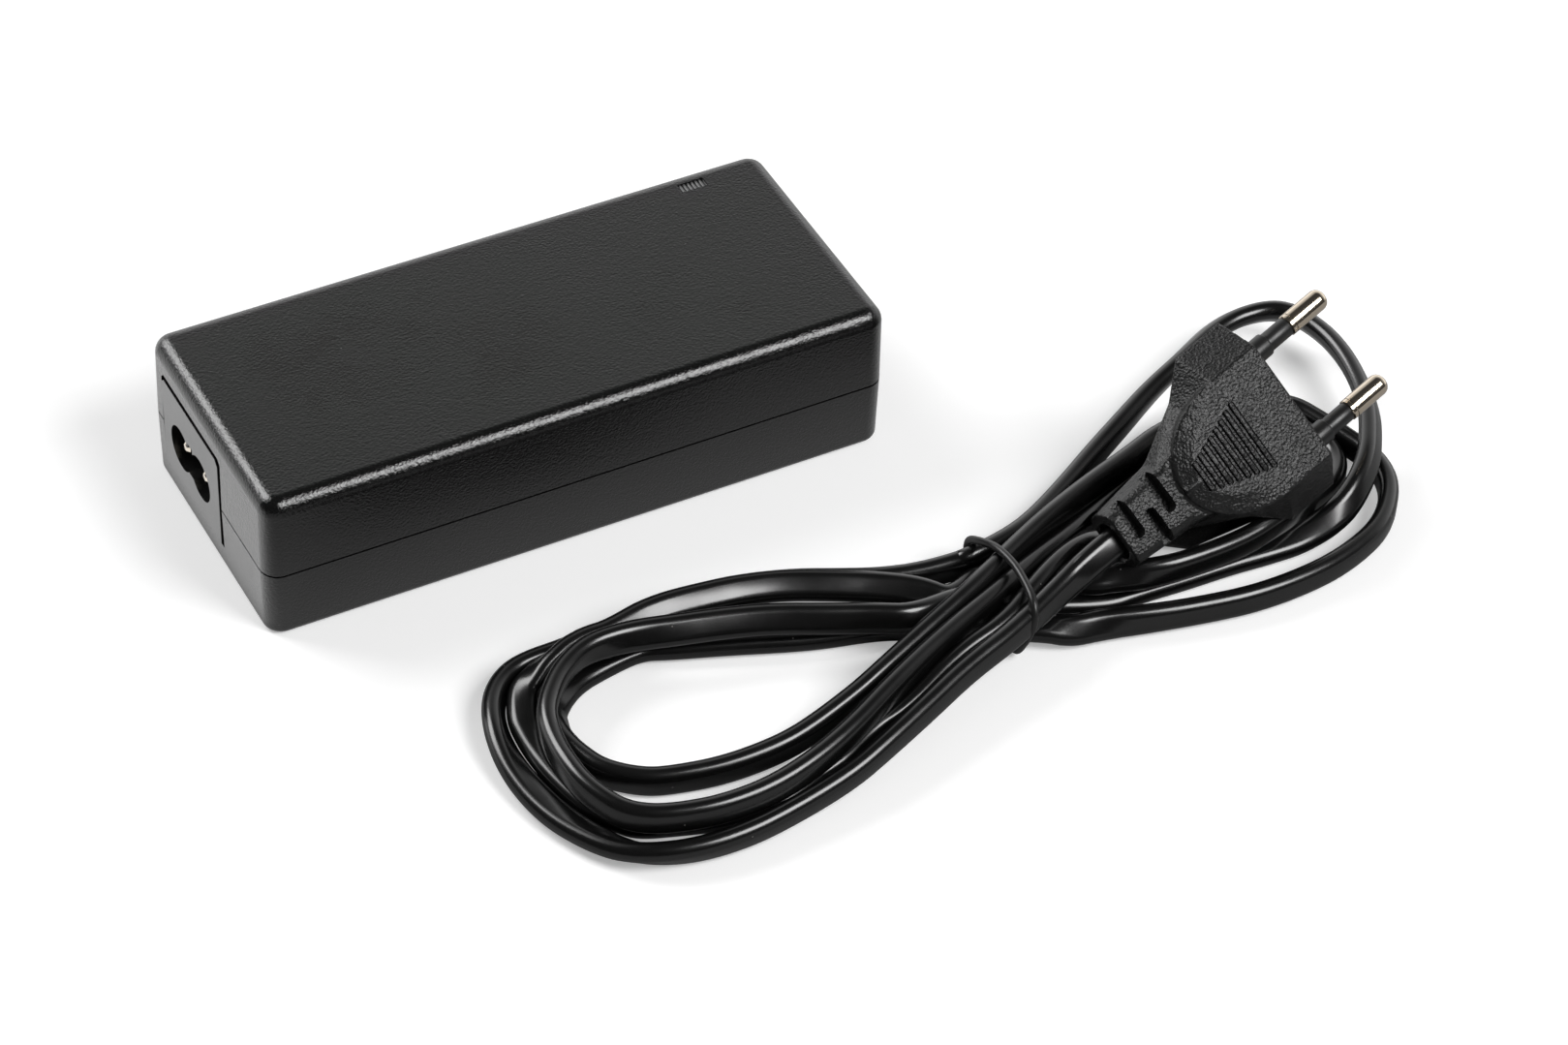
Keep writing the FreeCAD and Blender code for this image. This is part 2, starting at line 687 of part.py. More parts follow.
def make_choke():
    """A ferrite ring on edge with two windings, each round a part of it."""
    middle = f"({BOARD_TOP} + choke_outer + choke_wire - winding_gap)"
    grown = "(choke_wire + winding_gap)"

    def ring(name, extra):
        width = f"(choke_width + 2 * {extra})"
        start = f"choke_x - {width} / 2"
        disc = cylinder(name + "_disc", f"choke_outer + {extra}", width, start, "choke_y", middle, "x")
        hole = cylinder(name + "_hole", f"choke_inner - {extra}", f"{width} + 2", f"{start} - 1", "choke_y", middle,
                        "x")
        return cut(name, disc, hole)

    piece(ring("choke_ring", "0"), "choke_core")
    band = box("choke_band", "choke_width + 4 * choke_wire", "choke_part", "4 * choke_outer", "choke_x", "choke_y",
               f"{middle} - 2 * choke_outer")
    piece(cut("choke_windings_solid", ring("choke_wound", grown), ring("choke_bed", "winding_gap"), band),
          "choke_windings")


def make_mains_parts():
    """The small parts between the inlet and the rectifier."""
    piece(box("film_box", "film_box_length", "film_box_width", "film_box_height", "film_box_x", "film_box_y",
              BOARD_TOP), "x_capacitor")
    piece(cylinder("fuse_tube", "fuse_radius", "fuse_length", "fuse_x", "fuse_start", f"{BOARD_TOP} + fuse_radius",
                   "y"), "mains_fuse")
    piece(cylinder("surge_disc", "surge_radius", "surge_thickness", "film_box_x", "surge_y",
                   f"{BOARD_TOP} + surge_radius", "x"), "surge_absorber")
    piece(box("bridge_block", "bridge_depth", "bridge_width", "bridge_height", "bridge_x", "bridge_y", BOARD_TOP),
          "bridge_rectifier")
    piece(cylinder("safety_disc", "safety_radius", "safety_thickness", "safety_x", "safety_y",
                   f"{BOARD_TOP} + safety_radius", "x"), "y_capacitor")
    piece(box("isolator_block", "isolator_length", "isolator_width", "isolator_height", "isolator_x", "isolator_y",
              BOARD_TOP), "optocoupler")


def make_bulk_capacitor():
    """The large can, lying along the board, with a beaded rim and a dimpled end."""
    height = f"{BOARD_TOP} + bulk_radius"
    can = cylinder("bulk_can", "bulk_radius", "bulk_length", "bulk_x - bulk_length / 2", "bulk_y", height, "x")
    inner = "(bulk_radius - bulk_bead)"
    near = "bulk_x - bulk_length / 2 + bulk_bead_place"
    bead_outer = cylinder("bulk_bead_outer", "bulk_radius + 1", "2 * bulk_bead", near, "bulk_y", height, "x")
    bead_inner = cylinder("bulk_bead_inner", inner, "2 * bulk_bead", near, "bulk_y", height, "x")
    recess = cylinder("bulk_recess", f"{inner} - bulk_bead", "2 * bulk_bead",
                      "bulk_x - bulk_length / 2 - bulk_bead", "bulk_y", height, "x")
    piece(cut("bulk_solid", can, cut("bulk_bead", bead_outer, bead_inner), recess), "bulk_capacitor")


def make_power_parts():
    """The two heat sinks and the devices clamped to them."""
    piece(box("primary_plate", "primary_sink_length", "sink_thickness", "sink_height", "primary_sink_x",
              "primary_sink_y", BOARD_TOP), "primary_heat_sink")
    piece(box("secondary_plate", "sink_thickness", "secondary_sink_length", "sink_height", "secondary_sink_x",
              "secondary_sink_y", BOARD_TOP), "secondary_heat_sink")
    lifted = f"{BOARD_TOP} + sink_height - transistor_height"
    switch = box("switch_block", "transistor_width", "transistor_depth", "transistor_height", "primary_sink_x",
                 "primary_sink_y + (sink_thickness + transistor_depth) / 2", lifted)
    piece(switch, "switching_transistor")
    diode = box("diode_block", "transistor_depth", "transistor_width", "transistor_height",
                "secondary_sink_x + (sink_thickness + transistor_depth) / 2", "secondary_sink_y", lifted)
    piece(diode, "output_rectifier")


def make_output_parts():
    cans = [cylinder(f"output_can_{i}", "output_can_radius", "output_can_height", "output_can_x",
                     f"{side}output_can_y", BOARD_TOP) for i, side in enumerate(("-", ""))]
    piece(fuse("output_cans", *cans), "output_capacitors")
    piece(cylinder("rod_choke", "rod_choke_radius", "rod_choke_height", "rod_choke_x", "rod_choke_y", BOARD_TOP),
          "output_choke")


# The mains plug

def pose(item, prefix, **angles):
    """Puts a piece that was made in the plug's or the connector's own frame where it lies."""
    return bind(item, x=f"{prefix}_x", y=f"{prefix}_y", z=angles.pop("z", f"{prefix}_z"), **angles)


def plug_pose(item):
    return pose(item, "plug", yaw="plug_yaw", pitch="plug_pitch", roll="plug_roll")


def hexagon(drawing, width, flat, thickness):
    outline(drawing, [
        (f"{width} / 2", "0"), (f"{flat} / 2", f"{thickness} / 2"), (f"-{flat} / 2", f"{thickness} / 2"),
        (f"-{width} / 2", "0"), (f"-{flat} / 2", f"-{thickness} / 2"), (f"{flat} / 2", f"-{thickness} / 2"),
    ])


def loft(owner, name, sections):
    item = owner.newObject("PartDesign::AdditiveLoft", name)
    item.Profile = sections[0]
    item.Sections = sections[1:]
    item.Ruled = True
    return item


def make_plug_body():
    """The moulded plug: a six-sided block, tapering wings, a raised pad with ribs, and the slotted relief."""
    plug = body("plug")
    face = sketch(plug, "plug_face", "YZ_Plane", "-plug_block")
    hexagon(face, "plug_width", "plug_flat", "plug_thickness")
    pad(plug, face, "plug_block")
    stations = [("plug_block", "plug_width", "plug_flat", "plug_thickness"),
                ("plug_shoulder_x", "plug_shoulder_width", "plug_shoulder_width * shoulder_flat",
                 "(plug_thickness + plug_neck_thickness) / 2"),
                ("plug_neck_x", "plug_neck_width", "plug_neck_width * neck_flat", "plug_neck_thickness"),
                ("relief_end", "relief_width", "relief_width * neck_flat", "relief_thickness")]
    sections = []
    for i, (x, width, flat, thickness) in enumerate(stations):
        section = sketch(plug, f"plug_section_{i}", "YZ_Plane", f"-{x}")
        hexagon(section, width, flat, thickness)
        sections.append(section)
    document.recompute()
    loft(plug, "plug_wings", sections)
    document.recompute()

    oval = bind(document.addObject("Part::Ellipse", "pad_oval"), MajorRadius="pad_length - pad_straight",
                MinorRadius="pad_width / 2", x="-pad_straight", z="-plug_thickness / 2")
    whole = document.addObject("Part::Extrusion", "pad_whole")
    whole.Base = oval
    whole.Dir = Vector(0, 0, 1)
    whole.Solid = True
    bind(whole, LengthFwd="plug_thickness")
    front = box("pad_front", "pad_length", "pad_width + 2", "plug_thickness + 2",
                "-pad_straight - pad_length / 2", "0", "-plug_thickness / 2 - 1")
    nose = common("pad_nose", whole, front)
    document.recompute()
    tongue = box("pad_tongue", "pad_straight", "plug_flat", "plug_thickness", "-pad_straight / 2", "0",
                 "-plug_thickness / 2")
    rim = document.addObject("Part::Chamfer", "pad_rim")
    rim.Base = nose
    half = size("plug_thickness / 2")
    edge = size("pad_edge")
    rim.Edges = [(i, edge, edge) for i, line in enumerate(nose.Shape.Edges, start=1)
                 if abs(abs(line.BoundBox.ZMin) - half) < 0.01 and line.BoundBox.ZLength < 0.01
                 and line.BoundBox.XLength > 1]
    ribs = []
    for side, bottom in (("top", "plug_thickness / 2 - rib_root"), ("under", "-plug_thickness / 2 - rib_height")):
        for i in range(int(size("rib_count"))):
            ribs.append(box(f"rib_{side}_{i}", "rib_width", f"rib_longest - {i} * rib_step", "rib_height + rib_root",
                            f"-rib_first - {i} * rib_pitch", "0", bottom))
    slots = []
    depth = "(plug_neck_thickness - relief_spine) / 2"
    for i in range(3):
        shift = "relief_width / 3" if i % 2 == 0 else "-relief_width / 3"
        for name, bottom in (("over", "relief_spine / 2"), ("beneath", f"-relief_spine / 2 - {depth}")):
            slots.append(box(f"slot_{name}_{i}", "relief_slot", "relief_width", depth,
                             f"-relief_slot_first - {i} * relief_slot_pitch", shift, bottom))
    roots = [cylinder(f"plug_root_{i}", "pin_shank_radius", "pin_root", "-pin_root",
                      f"{side}plug_pin_spacing / 2", "0", "x") for i, side in enumerate(("-", ""))]
    moulding = fuse("plug_moulding", plug, rim, tongue, *ribs)
    piece(plug_pose(cut("plug_solid", moulding, *slots, *roots)), "plug_body")


def make_plug_pins():
    """Each pin is a slim shank with a turned, round-nosed end, in a sleeve with a collar at the plug's face."""
    for node, side in (("front", "-"), ("back", "")):
        across = f"{side}plug_pin_spacing / 2"
        turned = body(f"pin_{node}")
        profile = sketch(turned, f"pin_{node}_profile")
        outline(profile, [("sleeve_length", "0"), ("plug_pin_length", "0"),
                          ("plug_pin_length", "plug_pin_radius - plug_pin_dome"),
                          ("plug_pin_length - plug_pin_dome * 0.3", "plug_pin_radius - plug_pin_dome * 0.3"),
                          ("plug_pin_length - plug_pin_dome", "plug_pin_radius"),
                          ("sleeve_length", "plug_pin_radius")])
        item = turned.newObject("PartDesign::Revolution", f"pin_{node}_turned")
        item.Profile = profile
        item.ReferenceAxis = (profile, ["H_Axis"])
        item.Angle = 360
        bind(turned, y=across)
        shank = cylinder(f"pin_{node}_shank", "pin_shank_radius", "pin_root + sleeve_length + 0.5", "-pin_root",
                         across, "0", "x")
        piece(plug_pose(fuse(f"pin_{node}_solid", turned, shank)), f"plug_pin_{node}")
        tube = cylinder(f"sleeve_{node}_tube", "sleeve_radius", "sleeve_length", "0", across, "0", "x")
        collar = cylinder(f"sleeve_{node}_collar", "collar_radius", "collar_length", "0", across, "0", "x")
        hole = cylinder(f"sleeve_{node}_hole", "pin_shank_radius", "sleeve_length + 2", "-1", across, "0", "x")
        sleeve = cut(f"sleeve_{node}_solid", fuse(f"sleeve_{node}_turned", tube, collar), hole)
        piece(plug_pose(sleeve), f"pin_sleeve_{node}")


# The small connector

CONNECTOR_Z = "hood_thickness / 2"


def make_connector():
    """The lead's other end: a figure-of-eight nose with two contact holes, a hood and a tapered tail."""
    nose = figure_eight("nose_bar", "contact_spacing", "nose_lobe_radius", "nose_waist", "nose_length + 0.5",
                        "-nose_length - 0.5", "0", "0")
    hood = body("hood")
    first = sketch(hood, "hood_front", "YZ_Plane", "-nose_length - hood_length")
    rounded(first, "-hood_width / 2", "hood_width / 2", "-hood_thickness / 2", "hood_thickness / 2", "hood_corner")
    pad(hood, first, "hood_length")
    sections = []
    for i, (x, width, thickness) in enumerate((
            ("nose_length + hood_length", "hood_width", "hood_thickness"),
            ("nose_length + hood_length + tail_length * tail_waist", "tail_width + 2", "(tail_thickness + 1)"),
            ("nose_length + hood_length + tail_length", "tail_width", "tail_thickness"))):
        section = sketch(hood, f"hood_section_{i}", "YZ_Plane", f"-({x})")
        rounded(section, f"-({width}) / 2", f"({width}) / 2", f"-{thickness} / 2", f"{thickness} / 2", "hood_corner")
        sections.append(section)
    document.recompute()
    loft(hood, "hood_tail", sections)
    document.recompute()
    tubes = [cylinder(f"contact_hole_{i}", "contact_tube_radius", "contact_bore_depth + 2",
                      "-contact_bore_depth - 1", f"{side}contact_spacing / 2", "0", "x")
             for i, side in enumerate(("-", ""))]
    grip = "(hood_width + 2)"
    grooves = [box(f"grip_groove_{i}", "grip_width", grip, "grip_depth + 1",
                   f"-nose_length - grip_first - {i} * grip_pitch", "0", "hood_thickness / 2 - grip_depth")
               for i in range(int(size("grip_count")))]
    moulding = cut("connector_solid", fuse("connector_moulding", nose, hood), *tubes, *grooves)
    placed = pose(moulding, "connector", z=CONNECTOR_Z, yaw="connector_yaw")
    piece(placed, "connector_body")
    contacts = []
    for i, side in enumerate(("-", "")):
        across = f"{side}contact_spacing / 2"
        tube = cylinder(f"contact_tube_{i}", "contact_tube_radius", "contact_bore_depth - 1",
                        "-contact_bore_depth - 1", across, "0", "x")
        hole = cylinder(f"contact_bore_{i}", "contact_bore_radius", "contact_bore_depth + 1",
                        "-contact_bore_depth", across, "0", "x")
        contacts.append(cut(f"contact_{i}", tube, hole))
    group = pose(fuse("contacts_solid", *contacts), "connector", z=CONNECTOR_Z, yaw="connector_yaw")
    piece(group, "connector_contacts")


# The cord

STRAIGHT = 1e-4
CELL = 8


def direction(heading, rise=0.0):
    """A unit vector from a heading in degrees in the floor's plane and a rise per unit of run."""
    run = 1 / math.hypot(1, rise)
    return Vector(math.cos(math.radians(heading)) * run, math.sin(math.radians(heading)) * run, rise * run)


def pitch():
    return size("cord_diameter + strand_gap")


def lifted(strands):
    """The height of the cord's middle line over the floor, with a number of strands beneath it."""
    return size("cord_diameter / 2") + strands * pitch()


LOW_LAYER = "(ring_wire + ring_gap) / (cord_diameter + strand_gap)"


def waist(layer, rank, heading=None):
    """A station in the ring: ranks count from the back, and the high layer lies on the low one."""
    drift = size(f"{layer}_heading")
    across = size("waist_y") + (1.5 - rank) * pitch() / math.cos(math.radians(drift))
    strands = size(LOW_LAYER) + (1 if layer == "high" else 0)
    sloping = drift if layer == "high" else -drift
    return (size("waist_x"), across, lifted(strands), sloping if heading is None else heading)


# one round of the left lobe, from the ring along its front and round to its back: x, y, strands beneath, heading
LEFT_LOOP = [(43, -88.6, 1.3, 204), (21, -96.2, 0, 198), (-13, -101.4, 0, 180), (-36.2, -76, 0, 90),
             (-6, -48.9, 0, 5), (28, -54.6, 0, -25)]
LEFT_OUTERMOST = [(46, -61.7, 0.29, -18), (58, -64.6, 0.37, 4)]

# the rounds of the right lobe, each from its back strand to its front strand
TALL_LOOP = [(76, -54.7, 0.27, 32), (104, -36.6, 0.43, 33), (127.5, -28.8, 1.01, -2), (142.6, -46, 1.05, -90),
             (135, -69.4, 1.05, -126), (114, -82.8, 0.47, -168), (90, -84, 0, -182)]
WIDE_LOOP = [(76, -63.5, 1.26, 22), (97, -54.3, 0, 20), (114, -51.4, 0, 0), (137, -71, 0, -92),
             (116, -92.4, 0, -168), (88, -90.6, 0, -190)]
INNER_LOOP = [(76, -58.4, 1.18, 22), (96, -49, 0.06, 24), (112, -45.4, 0.14, 3), (131, -61, 1.09, -92),
              (117, -76.9, 0, -168), (93, -78.5, 0, -181)]
TO_CONNECTOR = [(67, -72.4, 1.32, 20)]


def resting(loop, rank=0):
    """A loop's stations in space, moved in by whole pitches square to the run for the inner ranks."""
    stations = []
    for x, y, strands, heading in loop:
        turn = math.radians(heading)
        shift = rank * pitch()
        stations.append((x + shift * math.sin(turn), y - shift * math.cos(turn), lifted(strands), heading))
    return stations


def backwards(stations):
    """The same stations, passed the other way."""
    return [(x, y, z, heading + 180) for x, y, z, heading in reversed(stations)]


def route():
    """All stations of the cord in order, from the plug's relief to the connector's tail."""
    last = int(size("left_loops")) - 1
    stations = backwards([waist("high", last)])
    stations += [*resting(LEFT_LOOP), *resting(LEFT_OUTERMOST), *resting(TALL_LOOP)]
    for rank, onward in ((2, WIDE_LOOP), (3, INNER_LOOP), (1, TO_CONNECTOR)):
        stations += backwards([*resting(LEFT_LOOP, rank), waist("low", rank)])
        stations += [waist("high", last - rank), *resting(onward)]
    return stations


def arc_to(start, tangent, end):
    """The arc, or the straight line, that leaves start along tangent and reaches end, and its radius."""
    chord = end - start
    normal = chord - tangent * chord.dot(tangent)
    if normal.Length < STRAIGHT * chord.Length:
        return [start, end], math.inf
    normal.normalize()
    radius = chord.dot(chord) / (2 * normal.dot(chord))
    centre = start + normal * radius
    spread = (start + end) * 0.5 - centre
    if chord.dot(tangent) < 0:
        spread = spread * -1
    middle = centre + spread.normalize() * radius
    return [start, middle, end], radius


def edge_through(spots):
    if len(spots) == 2:
        return Part.LineSegment(*spots).toShape()
    return Part.Arc(*spots).toShape()


def biarc(start, leave, end, arrive):
    """Two tangent arcs from one station to the next, and the smaller radius."""
    chord = end - start
    both = leave + arrive
    spread = 2 * (1 - leave.dot(arrive))
    along = chord.dot(both)
    if spread < STRAIGHT ** 2:
        reach = chord.dot(chord) / (4 * chord.dot(arrive))
    else:
        reach = (math.sqrt(along * along + spread * chord.dot(chord)) - along) / spread
    joint = (start + end + (leave - arrive) * reach) * 0.5
    first, first_radius = arc_to(start, leave, joint)
    second, second_radius = arc_to(end, arrive * -1, joint)
    return [edge_through(first), edge_through(second[::-1])], min(first_radius, second_radius)


def ends():
    """Where the cord leaves the plug's relief and where it meets the connector's tail, with directions."""
    turn = FreeCAD.Rotation(size("plug_yaw"), size("plug_pitch"), size("plug_roll"))
    along = turn.multVec(Vector(1, 0, 0))
    start = Vector(size("plug_x"), size("plug_y"), size("plug_z")) - along * size("relief_end")
    aim = direction(size("connector_yaw"))
    reach = size("nose_length + hood_length + tail_length")
    end = Vector(size("connector_x"), size("connector_y"), size(CONNECTOR_Z)) - aim * reach
    return start, along * -1, end, aim


def slopes(spots):
    """A rise per unit of run at each station, level where the cord rests and halfway between neighbours."""
    rises = []
    for i, spot in enumerate(spots):
        before, after = spots[max(i - 1, 0)], spots[min(i + 1, len(spots) - 1)]
        up = (after.z - spot.z) * (spot.z - before.z)
        run = math.hypot(after.x - before.x, after.y - before.y)
        rises.append((after.z - before.z) / run if up > 0 else 0.0)
    return rises


def faceted(radius, sides, middle, along):
    """A section with straight sides, its corners on the circle, square to a direction."""
    across = along.cross(Vector(0, 0, 1)).normalize()
    turn = FreeCAD.Rotation(along, 360 / sides)
    corners = [across * radius]
    for _ in range(sides - 1):
        corners.append(turn.multVec(corners[-1]))
    return Part.makePolygon([middle + corner for corner in (*corners, corners[0])])


def make_cord():
    """The whole lead as one faceted tube along biarcs, wound in four left loops and three right loops."""
    diameter = size("cord_diameter")
    start, leave, end, arrive = ends()
    near, far = start + leave * diameter, end - arrive * diameter
    stations = route()
    spots = [near, *[Vector(x, y, z) for x, y, z, _ in stations], far]
    rises = slopes(spots)
    tangents = [leave, *[direction(heading, rises[i + 1]) for i, (_, _, _, heading) in enumerate(stations)], arrive]
    edges = [Part.LineSegment(start, near).toShape()]
    radii = []
    for i in range(len(spots) - 1):
        pair, radius = biarc(spots[i], tangents[i], spots[i + 1], tangents[i + 1])
        edges += pair
        radii.append(radius)
    edges.append(Part.LineSegment(far, end).toShape())
    path = Part.Wire(edges)
    profile = faceted(diameter / 2, int(size("cord_sides")), start, leave)
    sweep = Part.BRepOffsetAPI.MakePipeShell(path)
    sweep.add(profile, False, False)
    sweep.build()
    sweep.makeSolid()
    cord = document.addObject("Part::Feature", "cord_tube")
    cord.Shape = sweep.shape()
    piece(cord, "mains_cord")
    sides = size("cord_sides")
    expected = diameter ** 2 / 8 * sides * math.sin(2 * math.pi / sides) * path.Length
    print(f"cord: length {path.Length:.0f}, volume {cord.Shape.Volume / expected:.4f} of section times length")
    print("cord: tightest radii", " ".join(f"{radius:.1f}" for radius in sorted(radii)[:6]))
    points = spaced(edges)
    lowest = min(point.z for _, point in points) - diameter / 2
    print(f"cord: least gap to itself {least_gap(points, diameter):.2f}, lowest {lowest:.2f}")


def spaced(edges):
    """Points about a millimetre apart along the cord's middle line, each with its distance along it."""
    points = []
    travelled = 0.0
    for edge in edges:
        count = max(2, int(edge.Length))
        for i in range(count):
            step = edge.Length * i / count
            points.append((travelled + step, edge.valueAt(edge.getParameterByLength(step))))
        travelled += edge.Length
    return points


def least_gap(points, diameter):
    """The least gap between passes of the cord that are more than a few diameters apart along it."""
    cells = {}
    for along, point in points:
        cells.setdefault((point.x // CELL, point.y // CELL), []).append((along, point))
    least = math.inf
    for (column, row), members in cells.items():
        near = [other for i in (-1, 0, 1) for j in (-1, 0, 1) for other in cells.get((column + i, row + j), [])]
        for along, point in members:
            for other_along, other in near:
                if other_along - along > 4 * diameter:
                    least = min(least, point.distanceToPoint(other))
    return least - diameter


def make_ring():
    """The rubber ring round the waist: a round wire along an upright rounded rectangle about both layers."""
    wire, half = size("ring_wire"), size("ring_width + ring_wire") / 2
    corner = size("(cord_diameter + ring_wire) / 2 + ring_gap")
    x, middle = size("waist_x"), size("waist_y")
    low, high = wire / 2, lifted(size(LOW_LAYER) + 1) + corner
    near, far = middle - half, middle + half
    bend = corner * (1 - math.sqrt(0.5))
    runs = [[(near + corner, low), (far - corner, low)], [(far, low + corner), (far, high - corner)],
            [(far - corner, high), (near + corner, high)], [(near, high - corner), (near, low + corner)]]
    bends = [(far - bend, low + bend), (far - bend, high - bend), (near + bend, high - bend),
             (near + bend, low + bend)]
    edges = []
    for i, run in enumerate(runs):
        spots = [Vector(x, y, z) for y, z in (*run, bends[i], runs[(i + 1) % 4][0])]
        edges += [edge_through(spots[:2]), edge_through(spots[1:])]
    oval = Part.Wire(edges)
    section = faceted(wire / 2, int(size("ring_sides")), edges[0].valueAt(edges[0].FirstParameter), Vector(0, 1, 0))
    band = document.addObject("Part::Feature", "ring_band")
    band.Shape = oval.makePipeShell([section], True, False)
    piece(band, "cord_ring")


make_bottom_shell()
make_top_shell()
make_inlet()
make_light()
make_jack()
make_board()
make_transformer()
make_choke()
make_mains_parts()
make_bulk_capacitor()
make_power_parts()
make_output_parts()
make_plug_body()
make_plug_pins()
make_connector()
make_cord()
make_ring()

document.recompute()
failed = [item.Name for item in document.Objects if {"Invalid", "Error"} & set(item.State)]
failed += [item.Label for item in pieces if item.Shape.isNull() or not item.Shape.isValid() or not item.Shape.Solids]
if failed:
    raise ValueError("these failed: " + ", ".join(failed))

os.makedirs("parts", exist_ok=True)
for item in pieces:
    item.Shape.exportStep(os.path.join("parts", item.Label + ".step"))
print(f"{len(pieces)} nodes written")
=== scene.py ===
import math

import bmesh
import bpy
from mathutils import Matrix, Vector


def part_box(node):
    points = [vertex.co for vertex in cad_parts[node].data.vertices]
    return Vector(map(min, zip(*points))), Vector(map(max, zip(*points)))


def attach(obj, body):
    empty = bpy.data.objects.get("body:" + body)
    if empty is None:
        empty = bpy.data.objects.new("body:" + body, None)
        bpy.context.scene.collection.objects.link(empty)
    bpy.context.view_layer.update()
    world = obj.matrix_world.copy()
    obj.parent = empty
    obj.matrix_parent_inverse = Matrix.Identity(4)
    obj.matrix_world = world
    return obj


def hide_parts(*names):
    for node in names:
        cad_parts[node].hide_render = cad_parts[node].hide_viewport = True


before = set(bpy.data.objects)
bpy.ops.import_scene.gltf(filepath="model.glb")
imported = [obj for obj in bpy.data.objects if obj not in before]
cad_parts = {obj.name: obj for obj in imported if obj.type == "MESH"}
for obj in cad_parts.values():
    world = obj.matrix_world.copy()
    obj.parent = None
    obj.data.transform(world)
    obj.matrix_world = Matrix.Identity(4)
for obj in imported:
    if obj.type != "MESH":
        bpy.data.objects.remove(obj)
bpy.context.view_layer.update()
mm = 0.001
mergeDistance = 0.002 * mm


# the camera, in front of the inlet's end and above
cameraValues = {
    "eye": (-0.28036, -0.59760, 0.59791),
    "right": (0.8859, -0.4628, 0.0311),
    "up": (0.2955, 0.6148, 0.7312),
    "lens": 114.49,
    "sensor": 36.0,
    "clip": (0.02, 20),
}


def placeCamera():
    right = Vector(cameraValues["right"]).normalized()
    back = right.cross(Vector(cameraValues["up"])).normalized()
    data = bpy.data.cameras.new("studioCamera")
    data.lens = cameraValues["lens"]
    data.sensor_width = cameraValues["sensor"]
    data.sensor_fit = "HORIZONTAL"
    data.clip_start, data.clip_end = cameraValues["clip"]
    camera = bpy.data.objects.new("studioCamera", data)
    turn = Matrix((right, back.cross(right), back)).transposed().to_4x4()
    camera.matrix_world = Matrix.Translation(cameraValues["eye"]) @ turn
    bpy.context.collection.objects.link(camera)
    bpy.context.scene.camera = camera


placeCamera()
print("camera placed")


# modelling helpers: everything is picked by its place, and left in object mode when done

def clear():
    bpy.ops.object.select_all(action="DESELECT")


def take(*things):
    clear()
    for thing in things:
        thing.select_set(True)
    bpy.context.view_layer.objects.active = things[0]


def pick(thing, kind, test):
    take(thing)
    bpy.ops.object.mode_set(mode="EDIT")
    bpy.ops.mesh.select_mode(type=kind)
    bpy.ops.mesh.select_all(action="DESELECT")
    mesh = bmesh.from_edit_mesh(thing.data)
    mesh.normal_update()
    if kind == "VERT":
        chosen = [item for item in mesh.verts if test(item.co / mm)]
    elif kind == "EDGE":
        chosen = [item for item in mesh.edges if test(item.verts[0].co / mm, item.verts[1].co / mm)]
    else:
        chosen = [item for item in mesh.faces if test(item.calc_center_median() / mm, item.normal)]
    for item in chosen:
        item.select_set(True)
    mesh.select_flush_mode()
    bmesh.update_edit_mesh(thing.data)
    return len(chosen)


def done():
    bpy.ops.object.mode_set(mode="OBJECT")


def applied(thing, kind, **values):
    take(thing)
    modifier = thing.modifiers.new(kind.title(), kind)
    for name, value in values.items():
        setattr(modifier, name, value)
    bpy.ops.object.modifier_apply(modifier=modifier.name)


def combine(thing, tool, way="DIFFERENCE"):
    applied(thing, "BOOLEAN", object=tool, operation=way, solver="EXACT")
    bpy.data.objects.remove(tool)
    return thing


def block(name, size, middle):
    clear()
    bpy.ops.mesh.primitive_cube_add(size=1, location=Vector(middle) * mm, scale=Vector(size) * mm)
    thing = bpy.context.object
    thing.name = name
    bpy.ops.object.transform_apply(location=True, rotation=True, scale=True)
    return thing


def rounded(thing, axis, width, steps):
    # rounds the edges that run along an axis
    place = "XYZ".index(axis)
    pick(thing, "EDGE", lambda a, b: abs(a[place] - b[place]) > 0.5)
    bpy.ops.mesh.bevel(offset=width * mm, segments=steps, affect="EDGES")
    done()
    return thing


def rod(name, radius, length, start, axis="X", sides=48):
    turns = {"X": (0, math.pi / 2, 0), "Y": (math.pi / 2, 0, 0), "Z": (0, 0, 0)}
    middle = Vector(start) + Vector([length / 2 if letter == axis else 0 for letter in "XYZ"])
    clear()
    bpy.ops.mesh.primitive_cylinder_add(vertices=sides, radius=radius * mm, depth=length * mm, location=middle * mm,
                                        rotation=turns[axis])
    thing = bpy.context.object
    thing.name = name
    bpy.ops.object.transform_apply(location=True, rotation=True, scale=True)
    return thing


def turned(name, outline, sides=64):
    # a profile of distance along X and radius, spun round X
    clear()
    mesh = bpy.data.meshes.new(name)
    mesh.from_pydata([(x * mm, 0, r * mm) for x, r in outline], [(i, i + 1) for i in range(len(outline) - 1)], [])
    thing = bpy.data.objects.new(name, mesh)
    bpy.context.collection.objects.link(thing)
    take(thing)
    bpy.ops.object.mode_set(mode="EDIT")
    bpy.ops.mesh.select_all(action="SELECT")
    bpy.ops.mesh.spin(steps=sides, angle=2 * math.pi, center=(0, 0, 0), axis=(1, 0, 0))
    bpy.ops.mesh.select_all(action="SELECT")
    bpy.ops.mesh.remove_doubles(threshold=mergeDistance)
    bpy.ops.mesh.normals_make_consistent(inside=False)
    done()
    return thing


def joined(name, *things):
    take(*things)
    bpy.ops.object.join()
    things[0].name = name
    return things[0]


